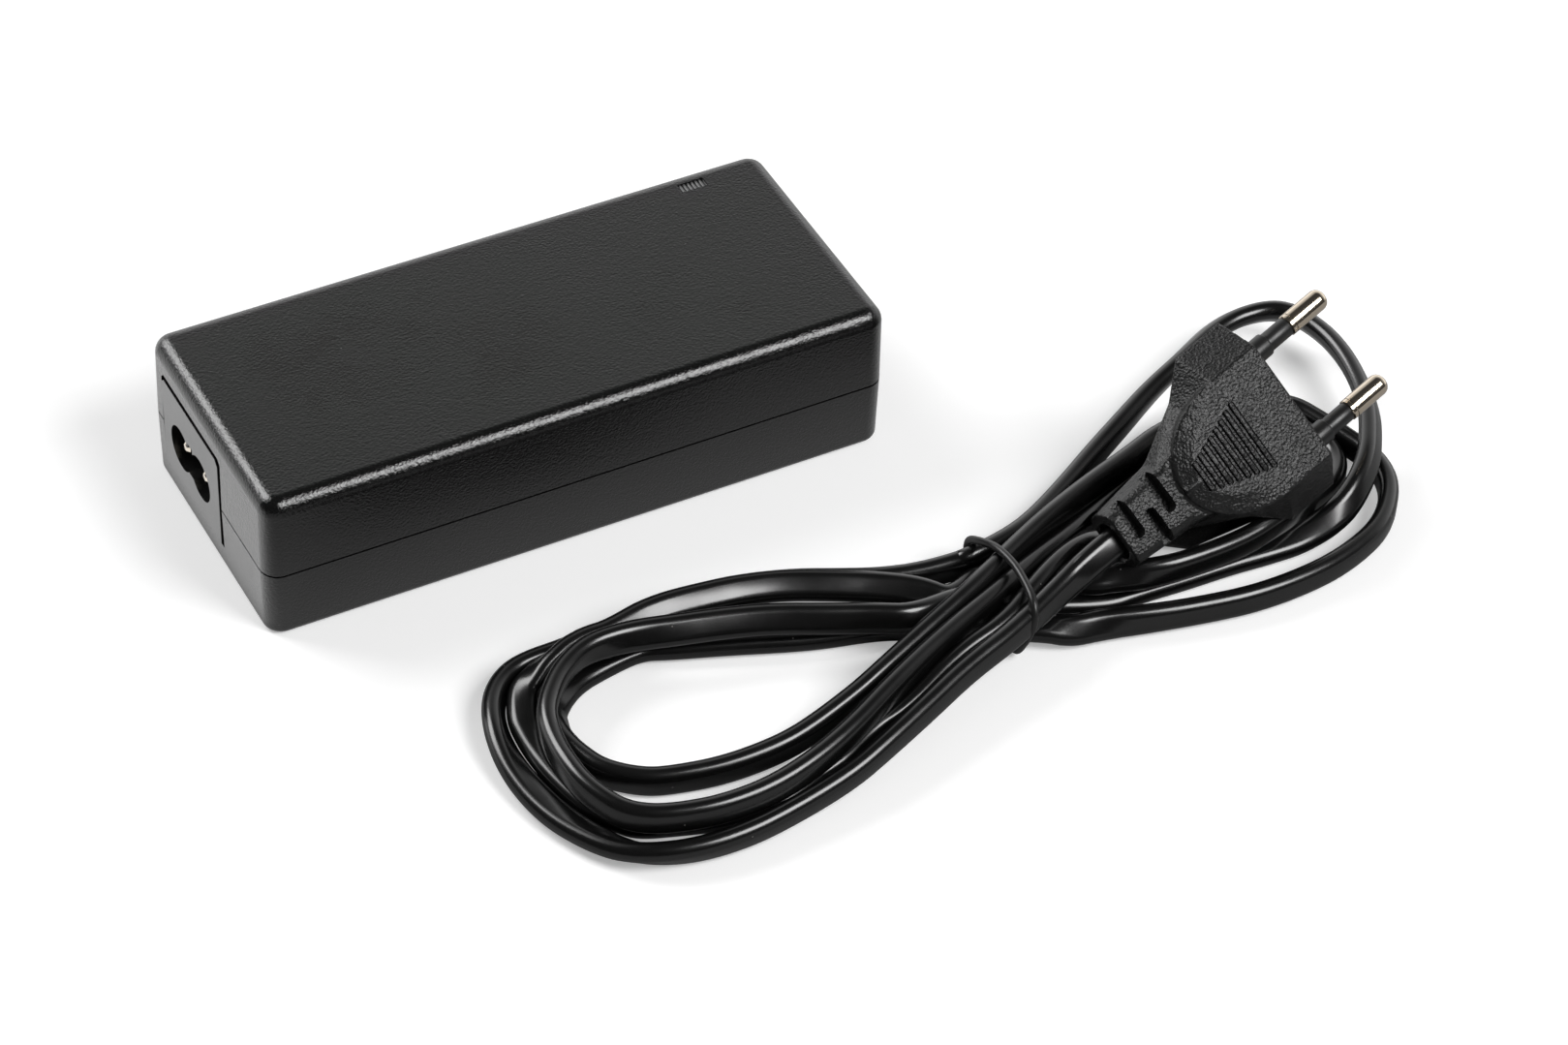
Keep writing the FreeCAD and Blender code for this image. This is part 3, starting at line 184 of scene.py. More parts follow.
def softened(name, node, width, angle=35, segments=3):
    # a copy of a CAD node with its edges rounded
    thing = bpy.data.objects.new(name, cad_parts[node].data.copy())
    bpy.context.collection.objects.link(thing)
    take(thing)
    bpy.ops.object.mode_set(mode="EDIT")
    bpy.ops.mesh.select_all(action="SELECT")
    bpy.ops.mesh.remove_doubles(threshold=mergeDistance)
    bpy.ops.mesh.dissolve_limited(angle_limit=math.radians(1))
    done()
    applied(thing, "BEVEL", width=width * mm, segments=segments, limit_method="ANGLE", angle_limit=math.radians(angle),
            use_clamp_overlap=True)
    return thing


def placed(thing, pose):
    thing.data.transform(pose)
    return thing


def complete(thing, material, body, nodes=(), angle=30, flatFaces=False):
    take(thing)
    bpy.ops.object.transform_apply(location=True, rotation=True, scale=True)
    bpy.ops.object.shade_smooth_by_angle(angle=math.radians(angle))
    if flatFaces:
        # keeps the rounding of an edge off the wide faces beside it
        applied(thing, "WEIGHTED_NORMAL", mode="FACE_AREA", weight=100, keep_sharp=True)
    thing.data.materials.clear()
    thing.data.materials.append(material)
    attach(thing, body)
    if nodes:
        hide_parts(*nodes)
    return thing


# shared effects for the materials

def group(name, inputs, outputs):
    tree = bpy.data.node_groups.new(name, "ShaderNodeTree")
    for label, kind, value in inputs:
        socket = tree.interface.new_socket(name=label, in_out="INPUT", socket_type=kind)
        if value is not None:
            socket.default_value = value
    for label, kind in outputs:
        tree.interface.new_socket(name=label, in_out="OUTPUT", socket_type=kind)
    return tree, tree.nodes.new("NodeGroupInput"), tree.nodes.new("NodeGroupOutput")


def node(tree, kind, links=(), **values):
    item = tree.nodes.new("ShaderNode" + kind)
    for name, value in values.items():
        if name.startswith("in_"):
            item.inputs[name[3:].replace("_", " ")].default_value = value
        else:
            setattr(item, name, value)
    for target, source in links:
        tree.links.new(source, item.inputs[target])
    return item


def makeGrain():
    # spark-eroded or leathery grain: cells broken up by noise
    tree, given, out = group("mouldGrain", [
        ("Vector", "NodeSocketVector", None), ("Cells", "NodeSocketFloat", 2600.0),
        ("Blend", "NodeSocketFloat", 0.5)],
        [("Height", "NodeSocketFloat")])
    fine = node(tree, "TexNoise", [("Vector", given.outputs["Vector"]), ("Scale", given.outputs["Cells"])],
                in_Detail=3.0, in_Roughness=0.6)
    cells = node(tree, "TexVoronoi", [("Vector", given.outputs["Vector"]), ("Scale", given.outputs["Cells"])],
                 feature="SMOOTH_F1")
    mixed = node(tree, "Mix", [(0, given.outputs["Blend"]), (2, fine.outputs["Fac"]), (3, cells.outputs["Distance"])])
    tree.links.new(mixed.outputs[0], out.inputs["Height"])
    return tree


dustValues = {
    "colour": (0.42, 0.41, 0.39, 1),
    "cells": 420.0, "speck": (0.07, 0.03),          # a speck fades in between these distances from a cell's middle
    "places": 190.0, "placeEdge": (0.60, 0.66),     # and lies only where this noise is high
}


def makeHandling():
    # broad shade changes, a few pale specks of dust, and the roughness that goes with them
    v = dustValues
    tree, given, out = group("handling", [
        ("Vector", "NodeSocketVector", None), ("Colour", "NodeSocketColor", (0.02, 0.02, 0.02, 1)),
        ("Shade", "NodeSocketColor", (0.03, 0.03, 0.03, 1)), ("Patches", "NodeSocketFloat", 60.0),
        ("Dust", "NodeSocketFloat", 0.2), ("Rough", "NodeSocketFloat", 0.4), ("Change", "NodeSocketFloat", 0.08)],
        [("Colour", "NodeSocketColor"), ("Rough", "NodeSocketFloat")])
    broad = node(tree, "TexNoise", [("Vector", given.outputs["Vector"]), ("Scale", given.outputs["Patches"])],
                 in_Detail=5.0, in_Roughness=0.65)
    spots = node(tree, "TexVoronoi", [("Vector", given.outputs["Vector"])], in_Scale=v["cells"], in_Randomness=1.0)
    speck = node(tree, "MapRange", [("Value", spots.outputs["Distance"])], in_From_Min=v["speck"][0],
                 in_From_Max=v["speck"][1])
    some = node(tree, "TexNoise", [("Vector", given.outputs["Vector"])], in_Scale=v["places"], in_Detail=1.0)
    rare = node(tree, "MapRange", [("Value", some.outputs["Fac"])], in_From_Min=v["placeEdge"][0],
                in_From_Max=v["placeEdge"][1])
    both = node(tree, "Math", [(0, speck.outputs["Result"]), (1, rare.outputs["Result"])], operation="MULTIPLY")
    dust = node(tree, "Math", [(0, both.outputs[0]), (1, given.outputs["Dust"])], operation="MULTIPLY")
    tone = node(tree, "Mix", [(0, broad.outputs["Fac"]), (6, given.outputs["Colour"]), (7, given.outputs["Shade"])],
                data_type="RGBA")
    pale = node(tree, "Mix", [(0, dust.outputs[0]), (6, tone.outputs[2])], data_type="RGBA")
    pale.inputs[7].default_value = v["colour"]
    swing = node(tree, "MapRange", [("Value", broad.outputs["Fac"])], in_From_Min=0.3, in_From_Max=0.7,
                 in_To_Min=-0.5, in_To_Max=0.5)
    step = node(tree, "Math", [(0, swing.outputs["Result"]), (1, given.outputs["Change"])], operation="MULTIPLY")
    rough = node(tree, "Math", [(0, step.outputs[0]), (1, given.outputs["Rough"])], operation="ADD")
    tree.links.new(pale.outputs[2], out.inputs["Colour"])
    tree.links.new(rough.outputs[0], out.inputs["Rough"])
    return tree


grainGroup = makeGrain()
handlingGroup = makeHandling()


def grey(value):
    return (value, value, value, 1)


def finish(name, colour, shade=None, rough=0.4, change=0.08, cells=2600.0, blend=0.5, depth=0.03, strength=0.5,
           dust=0.1, patches=60.0, **shader):
    # what is left over sets the shader's own sockets
    material = bpy.data.materials.new(name)
    material.use_nodes = True
    tree = material.node_tree
    bsdf = tree.nodes["Principled BSDF"]
    for label, value in shader.items():
        bsdf.inputs[label.replace("_", " ")].default_value = value
    place = node(tree, "TexCoord").outputs["Object"]
    handling = node(tree, "Group", node_tree=handlingGroup)
    grain = node(tree, "Group", node_tree=grainGroup)
    for item in (handling, grain):
        tree.links.new(place, item.inputs["Vector"])
    handling.inputs["Colour"].default_value = colour
    handling.inputs["Shade"].default_value = shade or colour
    for label, value in (("Patches", patches), ("Dust", dust), ("Rough", rough), ("Change", change)):
        handling.inputs[label].default_value = value
    grain.inputs["Cells"].default_value = cells
    grain.inputs["Blend"].default_value = blend
    bump = node(tree, "Bump", [("Height", grain.outputs["Height"])], in_Strength=strength, in_Distance=depth * mm)
    tree.links.new(handling.outputs["Colour"], bsdf.inputs["Base Color"])
    tree.links.new(handling.outputs["Rough"], bsdf.inputs["Roughness"])
    tree.links.new(bump.outputs["Normal"], bsdf.inputs["Normal"])
    return material


casePlastic = finish("casePlastic", grey(0.003), grey(0.005), rough=0.15, change=0.05, cells=2400.0, blend=0.35,
                     depth=0.110, strength=1.0, dust=0.10, Specular_IOR_Level=0.65)
inletPlastic = finish("inletPlastic", grey(0.004), grey(0.006), rough=0.24, cells=1700.0, depth=0.012, strength=0.3,
                      dust=0.1, Specular_IOR_Level=0.7)
pinNickel = finish("pinNickel", (0.66, 0.56, 0.44, 1), (0.72, 0.64, 0.53, 1), rough=0.15, change=0.08, cells=900.0,
                   depth=0.004, strength=0.3, dust=0.0, Metallic=1.0)
inletMetal = finish("inletMetal", (0.66, 0.60, 0.50, 1), (0.72, 0.66, 0.58, 1), rough=0.24, change=0.10, cells=900.0,
                    depth=0.004, strength=0.3, dust=0.0, Metallic=1.0)
windowPlastic = finish("windowPlastic", grey(0.10), grey(0.13), rough=0.36, cells=1200.0, depth=0.01, strength=0.3,
                       dust=0.05)
plugRubber = finish("plugRubber", grey(0.010), grey(0.014), rough=0.21, change=0.08, cells=2200.0, blend=0.5,
                    depth=0.26, strength=1.0, dust=0.22, patches=140.0, Specular_IOR_Level=0.30)
sleevePlastic = finish("sleevePlastic", grey(0.008), grey(0.012), rough=0.34, cells=2400.0, depth=0.012, strength=0.4,
                       dust=0.1)
cordJacket = finish("cordJacket", grey(0.0025), grey(0.004), rough=0.23, change=0.05, cells=500.0, blend=0.3,
                    depth=0.004, strength=0.2, dust=0.35, patches=180.0, Specular_IOR_Level=0.7)
ringRubber = finish("ringRubber", grey(0.006), grey(0.010), rough=0.36, cells=1500.0, depth=0.02, strength=0.4,
                    dust=0.3)
print("finishes made")


# the lead: a flat cord, with x, y and height in mm, and the degrees that its broad side leans from upright
cordValues = {
    "thickness": 3.5,
    "width": 5.6,
    "sides": 10,       # faces round each of its two rounded edges
    "steps": 6,        # divisions between two points of the route
    "feeler": 10.0,    # how far off the line that gives the lean runs
}
cordRoute = [
    (79.8, -77.9, 14.6, -44), (75.1, -78.9, 13.3, -44), (69.4, -80.4, 12.0, -36), (65.5, -81.1, 10.2, -20),
    (51.0, -87.4, 9.1, 0), (40.3, -90.7, 8.4, 0), (30.6, -94.7, 7.3, 0), (19.8, -98.9, 6.1, 5),
    (12.1, -101.4, 4.9, 8), (1.0, -103.2, 3.7, 10), (-8.3, -104.3, 3.3, 15), (-17.4, -103.7, 3.1, 22),
    (-24.9, -101.0, 3.0, 35), (-29.0, -97.1, 2.6, 62), (-32.1, -91.4, 2.3, 80), (-34.3, -85.8, 2.1, 88),
    (-35.5, -80.3, 2.1, 88), (-36.1, -74.4, 2.2, 70), (-36.0, -69.4, 2.5, 48), (-35.3, -64.5, 2.8, 28),
    (-33.6, -59.5, 2.8, 14), (-31.2, -56.0, 2.8, 8), (-27.6, -53.4, 2.8, 4), (-23.5, -52.4, 2.8, 0),
    (-17.7, -52.4, 2.8, 0), (-10.8, -52.0, 2.8, 0), (-2.8, -50.7, 2.8, 0), (4.9, -50.1, 2.8, 0),
    (12.0, -50.6, 2.8, 0), (18.4, -51.6, 2.8, 0), (26.6, -54.2, 2.8, 0), (33.0, -57.3, 2.8, 0),
    (39.7, -60.2, 2.7, 0), (46.7, -62.3, 2.9, 0), (54.2, -63.6, 3.7, 0), (55.3, -64.0, 4.5, 0),
    (61.1, -63.2, 4.3, 0), (68.8, -60.9, 3.9, 0), (78.9, -55.3, 3.6, 0), (89.0, -49.3, 3.9, 0),
    (97.4, -44.7, 4.4, -5), (105.9, -40.0, 5.0, -15), (114.1, -36.5, 5.9, -30), (125.7, -31.5, 7.0, -42),
    (134.3, -31.7, 7.6, -42), (138.9, -35.0, 8.0, -38), (140.9, -42.5, 8.4, -32), (140.8, -49.9, 8.6, -28),
    (139.3, -57.4, 8.6, -25), (136.7, -64.8, 8.6, -25), (133.8, -69.8, 8.7, -25), (129.9, -75.5, 8.7, -25),
    (125.0, -79.9, 7.6, -30), (119.5, -82.7, 5.5, -45), (112.3, -82.6, 2.5, -65), (104.8, -81.9, 1.8, -82),
    (97.3, -81.4, 1.8, -90), (88.8, -81.2, 1.7, -90), (79.2, -80.7, 1.8, -90), (72.9, -80.7, 1.6, -90),
    (56.4, -75.1, 3.7, -90), (50.2, -73.2, 5.6, -60), (38.6, -75.0, 7.0, -25), (32.6, -71.8, 7.1, -25),
    (25.5, -69.0, 7.4, -30), (15.7, -64.7, 7.8, -42), (6.6, -62.1, 8.0, -45), (0.6, -60.7, 8.1, -42),
    (-6.2, -58.9, 8.2, -30), (-11.5, -58.4, 8.4, -15), (-15.4, -58.6, 8.5, 0), (-19.2, -60.0, 8.5, 8),
    (-23.2, -62.7, 8.4, 10), (-27.5, -67.6, 8.2, 8), (-29.2, -71.7, 8.0, 0), (-30.1, -76.6, 7.8, 5),
    (-30.3, -81.3, 7.9, 5), (-30.0, -86.3, 7.8, 5), (-28.5, -91.0, 7.6, 5), (-26.6, -94.7, 7.4, 5),
    (-23.1, -97.6, 7.3, 5), (-17.9, -99.5, 7.3, 5), (-11.3, -100.8, 7.3, 5), (-2.5, -100.8, 7.5, 5),
    (6.1, -99.0, 8.1, 3), (15.6, -95.5, 8.9, 0), (26.2, -89.9, 9.5, 0), (38.4, -83.8, 9.2, 0), (51.8, -78.2, 8.8, 0),
    (62.9, -72.9, 7.9, 0), (75.1, -66.0, 5.0, 0), (85.0, -60.1, 3.1, 0), (95.2, -56.0, 2.6, 0),
    (105.6, -53.1, 2.8, 0), (115.5, -51.0, 2.8, 0), (123.6, -50.5, 2.8, 0), (128.5, -52.7, 2.8, 0),
    (130.8, -58.8, 2.8, 0), (132.5, -64.1, 2.8, 0), (134.2, -70.2, 2.8, 0), (134.0, -75.5, 2.8, 0),
    (131.8, -80.4, 2.8, 0), (126.3, -86.4, 2.9, 0), (118.9, -89.9, 2.9, 0), (110.0, -92.1, 2.9, 0),
    (97.2, -92.7, 3.0, 0), (85.8, -90.8, 3.0, 0), (77.2, -88.9, 3.1, -5), (69.2, -86.6, 3.1, -30),
    (63.6, -85.8, 3.1, -42), (59.1, -82.9, 3.5, -90), (40.3, -72.3, 2.2, -75), (38.5, -70.9, 2.2, -65),
    (33.4, -68.8, 2.1, -70), (23.1, -66.3, 1.9, -80), (10.0, -61.3, 1.9, -88), (0.3, -57.9, 1.9, -88),
    (-4.3, -55.9, 1.9, -88), (-10.9, -56.6, 1.8, -88), (-18.9, -58.5, 2.0, -75), (-24.6, -63.4, 2.5, -50),
    (-25.4, -67.0, 2.7, -28), (-26.1, -71.8, 2.9, -12), (-25.3, -76.5, 2.8, 0), (-23.4, -81.2, 2.8, 0),
    (-18.2, -85.8, 2.8, 0), (-13.3, -87.5, 2.8, 0), (-5.2, -89.1, 2.8, 0), (4.0, -89.4, 3.3, 0),
    (10.7, -88.7, 4.0, 0), (21.3, -86.2, 5.9, 0), (26.4, -84.6, 7.1, 0), (39.2, -79.6, 8.7, 0),
    (51.1, -74.8, 9.6, 0), (61.9, -69.3, 9.5, 0), (70.9, -65.2, 9.6, 0), (83.0, -60.3, 9.1, 0),
    (90.9, -57.5, 8.6, 0), (99.4, -54.1, 8.4, 0), (107.0, -53.6, 8.3, 0), (113.7, -53.9, 7.8, 0),
    (119.7, -55.7, 5.9, 0), (125.1, -58.7, 3.8, 0), (128.5, -63.3, 2.8, 0), (128.4, -68.5, 2.7, 0),
    (125.3, -72.9, 3.3, 0), (119.8, -76.6, 4.6, 0), (112.9, -79.4, 6.7, 0), (105.1, -81.9, 7.4, 0),
    (100.5, -82.8, 7.0, 0), (94.1, -83.4, 7.0, 0), (85.4, -83.4, 7.1, 0), (79.7, -82.2, 6.8, -20),
    (74.5, -79.7, 6.2, -60), (71.1, -78.7, 5.3, -85), (57.9, -66.4, 3.3, -90), (48.0, -71.7, 3.6, -50),
    (44.2, -67.3, 4.5, -45), (37.8, -63.4, 5.0, -50), (31.5, -60.6, 5.5, -54), (23.1, -56.7, 5.8, -55),
    (15.8, -54.9, 6.1, -55), (10.7, -54.3, 6.4, -55), (-0.5, -53.2, 6.5, -50), (-9.7, -55.4, 6.4, -40),
    (-13.8, -55.1, 6.5, -20), (-17.6, -55.5, 6.4, 0), (-19.7, -56.0, 6.2, 20), (-22.9, -56.7, 5.7, 45),
    (-25.5, -58.2, 5.1, 65), (-27.9, -59.3, 4.2, 80), (-30.3, -64.4, 3.6, 88), (-30.6, -67.3, 3.2, 90),
    (-30.7, -71.2, 2.8, 90), (-30.3, -76.6, 2.6, 90), (-29.3, -82.3, 2.4, 90), (-27.8, -87.2, 2.2, 90),
    (-25.1, -90.9, 2.1, 90), (-23.1, -93.4, 2.0, 90), (-17.3, -95.4, 2.0, 90), (-9.5, -97.8, 2.0, 85),
    (-1.5, -97.6, 2.0, 70), (10.9, -98.5, 2.7, 30), (21.3, -92.9, 3.7, 10), (27.7, -92.3, 4.9, 0),
    (40.5, -86.4, 7.0, 0), (50.9, -84.4, 8.1, 0), (59.0, -79.8, 9.2, 0), (66.5, -75.3, 9.2, -12),
    (72.5, -72.2, 8.3, -34), (77.0, -70.0, 6.4, -62), (80.6, -68.3, 4.9, -85), (84.2, -68.0, 4.6, -90),
]


def smoothLine(name, points, steps, closed=False, wire=0):
    # a smooth curve as a mesh: a bare line, or a round wire
    curve = bpy.data.curves.new(name, "CURVE")
    curve.dimensions = "3D"
    curve.resolution_u = steps
    if wire:
        curve.bevel_depth = wire / 2 * mm
        curve.bevel_resolution = 5
    spline = curve.splines.new("NURBS")
    spline.points.add(len(points) - 1)
    for point, spot in zip(spline.points, points):
        point.co = (*(Vector(spot) * mm), 1)
    spline.order_u = 3
    spline.use_endpoint_u = not closed
    spline.use_cyclic_u = closed
    thing = bpy.data.objects.new(name, curve)
    bpy.context.collection.objects.link(thing)
    bpy.context.view_layer.update()
    mesh = bpy.data.meshes.new_from_object(thing)
    bpy.data.objects.remove(thing)
    return mesh


def broadSides():
    # points off the route in the direction of the cord's broad side
    line = [Vector(point[:3]) for point in cordRoute]
    aside = []
    for i, (spot, point) in enumerate(zip(line, cordRoute)):
        along = line[min(i + 1, len(line) - 1)] - line[max(i - 1, 0)]
        left = Vector((-along.y, along.x, 0)).normalized()
        lean = math.radians(point[3])
        aside.append(spot + (Vector((0, 0, math.cos(lean))) + left * math.sin(lean)) * cordValues["feeler"])
    return aside


def makeCord():
    v = cordValues
    middle, beside = ([vertex.co.copy() for vertex in smoothLine("cordLine", points, v["steps"]).vertices]
                      for points in ([point[:3] for point in cordRoute], broadSides()))
    radius = v["thickness"] / 2 * mm
    flat = (v["width"] - v["thickness"]) / 2 * mm
    # the section has two flat sides and two round edges
    section = []
    for side in (1, -1):
        for i in range(v["sides"] + 1):
            turn = -side * math.pi / 2 + math.pi * i / v["sides"]
            section.append((side * flat + math.cos(turn) * radius, math.sin(turn) * radius))
    verts, faces = [], []
    count = len(section)
    for i, spot in enumerate(middle):
        along = (middle[min(i + 1, len(middle) - 1)] - middle[max(i - 1, 0)]).normalized()
        broad = beside[i] - spot
        broad = (broad - along * broad.dot(along)).normalized()
        across = along.cross(broad)
        verts += [spot + broad * a + across * b for a, b in section]
        if i:
            low, high = (i - 1) * count, i * count
            faces += [(low + k, low + (k + 1) % count, high + (k + 1) % count, high + k) for k in range(count)]
    faces += [tuple(range(count))[::-1], tuple(len(verts) - count + k for k in range(count))]
    mesh = bpy.data.meshes.new("leadCord")
    mesh.from_pydata(verts, [], faces)
    cord = bpy.data.objects.new("leadCord", mesh)
    bpy.context.collection.objects.link(cord)
    take(cord)
    bpy.ops.object.mode_set(mode="EDIT")
    bpy.ops.mesh.select_all(action="SELECT")
    bpy.ops.mesh.normals_make_consistent(inside=False)
    done()
    complete(cord, cordJacket, "mains_lead", ["mains_cord"], angle=60)
    length = sum((b - a).length for a, b in zip(middle, middle[1:]))
    return cord, middle, length


leadCord, cordLine, cordLength = makeCord()
print(f"cord made, {cordLength:.3f} m")


# the ring that ties the lead: a loop of round rubber, x, y and height in mm
ringValues = {
    "wire": 1.45,
    "steps": 8,
    "loop": [(57.0, -60.8, 2.0), (56.9, -60.7, 5.2), (56.8, -61.7, 7.2), (56.4, -66.0, 10.4), (56.7, -70.6, 12.9),
             (57.0, -76.0, 13.5), (56.5, -80.5, 13.5), (55.6, -85.2, 13.5), (54.9, -87.3, 11.6), (54.2, -87.5, 8.0),
             (53.6, -85.9, 3.8), (53.6, -84.2, 0.9), (54.4, -80.0, 0.75), (56.0, -75.0, 0.75), (57.0, -67.0, 0.75),
             (57.1, -61.8, 0.8)],
}


def makeRing():
    v = ringValues
    ring = bpy.data.objects.new("leadRing", smoothLine("ringLine", v["loop"], v["steps"], True, v["wire"]))
    bpy.context.collection.objects.link(ring)
    return complete(ring, ringRubber, "mains_lead", ["cord_ring"], angle=60)


leadRing = makeRing()
print("ring made")


# the mains plug, modelled lying along X with its pins forward, then put where it lies
plugValues = {
    "place": (112.41, -69.76, 23.83),
    "turn": (13.7, -15.1, 44.1),            # yaw, pitch and roll in degrees
    "width": 35.3, "flat": 23.5, "thickness": 13.7, "block": 10.5,
    # how it narrows towards the cord: x, half the width, the flat's share of that, half the thickness
    "stations": [(-16.5, 12.4, 0.66, 5.6), (-27.0, 6.9, 0.80, 4.7), (-39.6, 5.7, 0.86, 4.35)],
    "reliefEdge": 1.5,
    "padHalfWidth": 12.1, "padStraight": 10.2, "padNose": 15.9,
    "padBorder": 3.4, "padDrop": 1.3, "padSteps": 8,
    "padBelow": (0.80, 0.84),               # the underside pad's length and width beside the upper one's
    "voxel": 0.27, "smooth": 4,
    "cup": (8.0, 7.6, 5.6), "cupMiddle": -41.9, "cupEdge": 2.6,
    "slots": [(-29.3, 1), (-32.9, -1), (-36.6, 1)],
    "slotSize": (2.3, 11.0, 5.0), "slotAside": 3.9, "slotMiddle": 4.4, "slotRound": 0.46,
    "ribs": 8, "ribFirst": 10.1, "ribPitch": 1.69, "ribLongest": 13.8, "ribStep": 1.12,
    "ribWidth": 0.8, "ribHeight": 1.0, "ribSink": 0.30, "ribRound": 0.42, "ribEdge": 0.12,
    "groove": 0.25, "grooveTool": 2.0, "grooveRise": 0.55,
    "dimple": 0.42, "dimpleDepth": 0.7, "dimplePlace": (-20.2, 0.6),
}


def plugPose():
    yaw, pitch, roll = (math.radians(angle) for angle in plugValues["turn"])
    return (Matrix.Translation(Vector(plugValues["place"]) * mm) @ Matrix.Rotation(yaw, 4, "Z")
            @ Matrix.Rotation(pitch, 4, "Y") @ Matrix.Rotation(roll, 4, "X"))


def makePlugWings():
    v = plugValues
    half = v["thickness"] / 2
    wings = block("plugWings", (v["block"], v["flat"], v["thickness"]), (-v["block"] / 2, 0, 0))
    pick(wings, "EDGE", lambda a, b: abs(a.z - b.z) > 1)
    bpy.ops.mesh.subdivide(number_cuts=1)
    done()
    reach = v["width"] / v["flat"]
    pick(wings, "VERT", lambda p: abs(p.z) < 0.1)
    bpy.ops.transform.resize(value=(1, reach, 1), center_override=(0, 0, 0))
    done()
    back = -v["block"]
    lastTip, lastFlat, lastHalf = v["width"] / 2, v["flat"] / 2, half
    for x, tip, share, height in v["stations"]:
        pick(wings, "FACE", lambda p, n: n.x < -0.9 and abs(p.x - back) < 0.1)
        bpy.ops.mesh.extrude_region_move(TRANSFORM_OT_translate={"value": ((x - back) * mm, 0, 0)})
        done()
        pick(wings, "VERT", lambda p: abs(p.x - x) < 0.1 and abs(p.z) < 0.1)
        bpy.ops.transform.resize(value=(1, tip / lastTip, 1), center_override=(0, 0, 0))
        done()
        pick(wings, "VERT", lambda p: abs(p.x - x) < 0.1 and abs(p.z) > 0.1)
        bpy.ops.transform.resize(value=(1, tip * share / lastFlat, height / lastHalf), center_override=(0, 0, 0))
        done()
        back, lastTip, lastFlat, lastHalf = x, tip, tip * share, height
    # the relief's long edges are round
    start = v["stations"][-2][0]
    pick(wings, "EDGE", lambda a, b: abs(a.x - b.x) > 5 and max(a.x, b.x) < start + 1 and abs(a.z) > 1)
    bpy.ops.mesh.bevel(offset=v["reliefEdge"] * mm, segments=4, affect="EDGES")
    done()
    return wings


def makePlugPad():
    v = plugValues
    halfWidth, straight, nose = v["padHalfWidth"], v["padStraight"], v["padNose"]
    half = v["thickness"] / 2
    pad = rod("plugPad", 1, v["thickness"], (0, 0, -half), "Z", 96)
    pick(pad, "VERT", lambda p: True)
    bpy.ops.transform.resize(value=(nose, halfWidth, 1), center_override=(0, 0, 0))
    bpy.ops.transform.translate(value=(-straight * mm, 0, 0))
    bpy.ops.mesh.bisect(plane_co=(-straight * mm, 0, 0), plane_no=(1, 0, 0), clear_outer=True, use_fill=True)
    done()
    pick(pad, "FACE", lambda p, n: abs(n.z) > 0.9)
    bpy.ops.mesh.inset(thickness=v["padBorder"] * mm, use_boundary=True)
    done()
    # the border slopes down towards the nose
    steps = v["padSteps"]
    for i in range(steps):
        low, high = nose * i / steps, nose * (i + 1) / steps
        share = (i + 0.5) / steps
        sink = v["padDrop"] * share * share * (3 - 2 * share)
        for way in (1, -1):
            if pick(pad, "VERT", lambda p: p.z * way > 1 and low < -straight - p.x <= high
                    and math.hypot((p.x + straight) / nose, p.y / halfWidth) > 0.97):
                bpy.ops.transform.translate(value=(0, 0, -sink * way * mm))
            done()
    pick(pad, "VERT", lambda p: p.z < -1)
    bpy.ops.transform.resize(value=(*v["padBelow"], 1), center_override=(-straight * mm, 0, 0))
    done()
    tongue = block("plugTongue", (straight + 1, v["flat"], v["thickness"]), (-straight / 2 - 0.5, 0, 0))
    return combine(pad, tongue, "UNION")


def softSlot(x, side):
    # a rounded cutter that leaves a spine along the middle
    v = plugValues
    tool = block("slotTool", v["slotSize"], (x, side * v["slotAside"], v["slotMiddle"]))
    return rounded(tool, "Z", v["slotSize"][0] * v["slotRound"], 5)


def plugRib(x, width, length, height, middle):
    rib = rounded(block("plugRib", (width, length, height), (x, 0, middle)), "Z", width * plugValues["ribRound"], 3)
    pick(rib, "FACE", lambda p, n: n.z > 0.9)
    bpy.ops.mesh.bevel(offset=plugValues["ribEdge"] * mm, segments=2, affect="EDGES")
    done()
    return rib


def makePlug():
    v = plugValues
    half = v["thickness"] / 2
    plug = combine(makePlugWings(), makePlugPad(), "UNION")
    applied(plug, "REMESH", mode="VOXEL", voxel_size=v["voxel"] * mm)
    applied(plug, "SMOOTH", factor=0.5, iterations=v["smooth"])
    # the relief ends in a shallow cup round the cord
    combine(plug, rounded(block("cupTool", v["cup"], (v["cupMiddle"], 0, 0)), "X", v["cupEdge"], 6))
    tools, ribs = [], []
    for x, side in v["slots"]:
        for turn in (0, math.pi):
            tool = softSlot(x, side)
            tool.data.transform(Matrix.Rotation(turn, 4, "X"))
            tools.append(tool)
    # each rib stands in a shallow groove of its own outline
    for i in range(v["ribs"]):
        length = v["ribLongest"] - i * v["ribStep"]
        x = -v["ribFirst"] - i * v["ribPitch"]
        for turn in (0, math.pi):
            rib = plugRib(x, v["ribWidth"], length, v["ribHeight"], half - v["ribSink"])
            groove = plugRib(x, v["ribWidth"] + 2 * v["groove"], length + 2 * v["groove"], v["grooveTool"],
                             half + v["grooveRise"])
            for thing, pile in ((rib, ribs), (groove, tools)):
                thing.data.transform(Matrix.Rotation(turn, 4, "X"))
                pile.append(thing)
    combine(plug, joined("plugTools", *tools))
    combine(plug, rod("dimpleTool", v["dimple"], 2.0, (*v["dimplePlace"], half - v["dimpleDepth"]), "Z", 20))
    plug = joined("plugMoulding", plug, *ribs)
    return complete(placed(plug, plugPose()), plugRubber, "mains_lead", ["plug_body"])


plug = makePlug()
print("plug made")


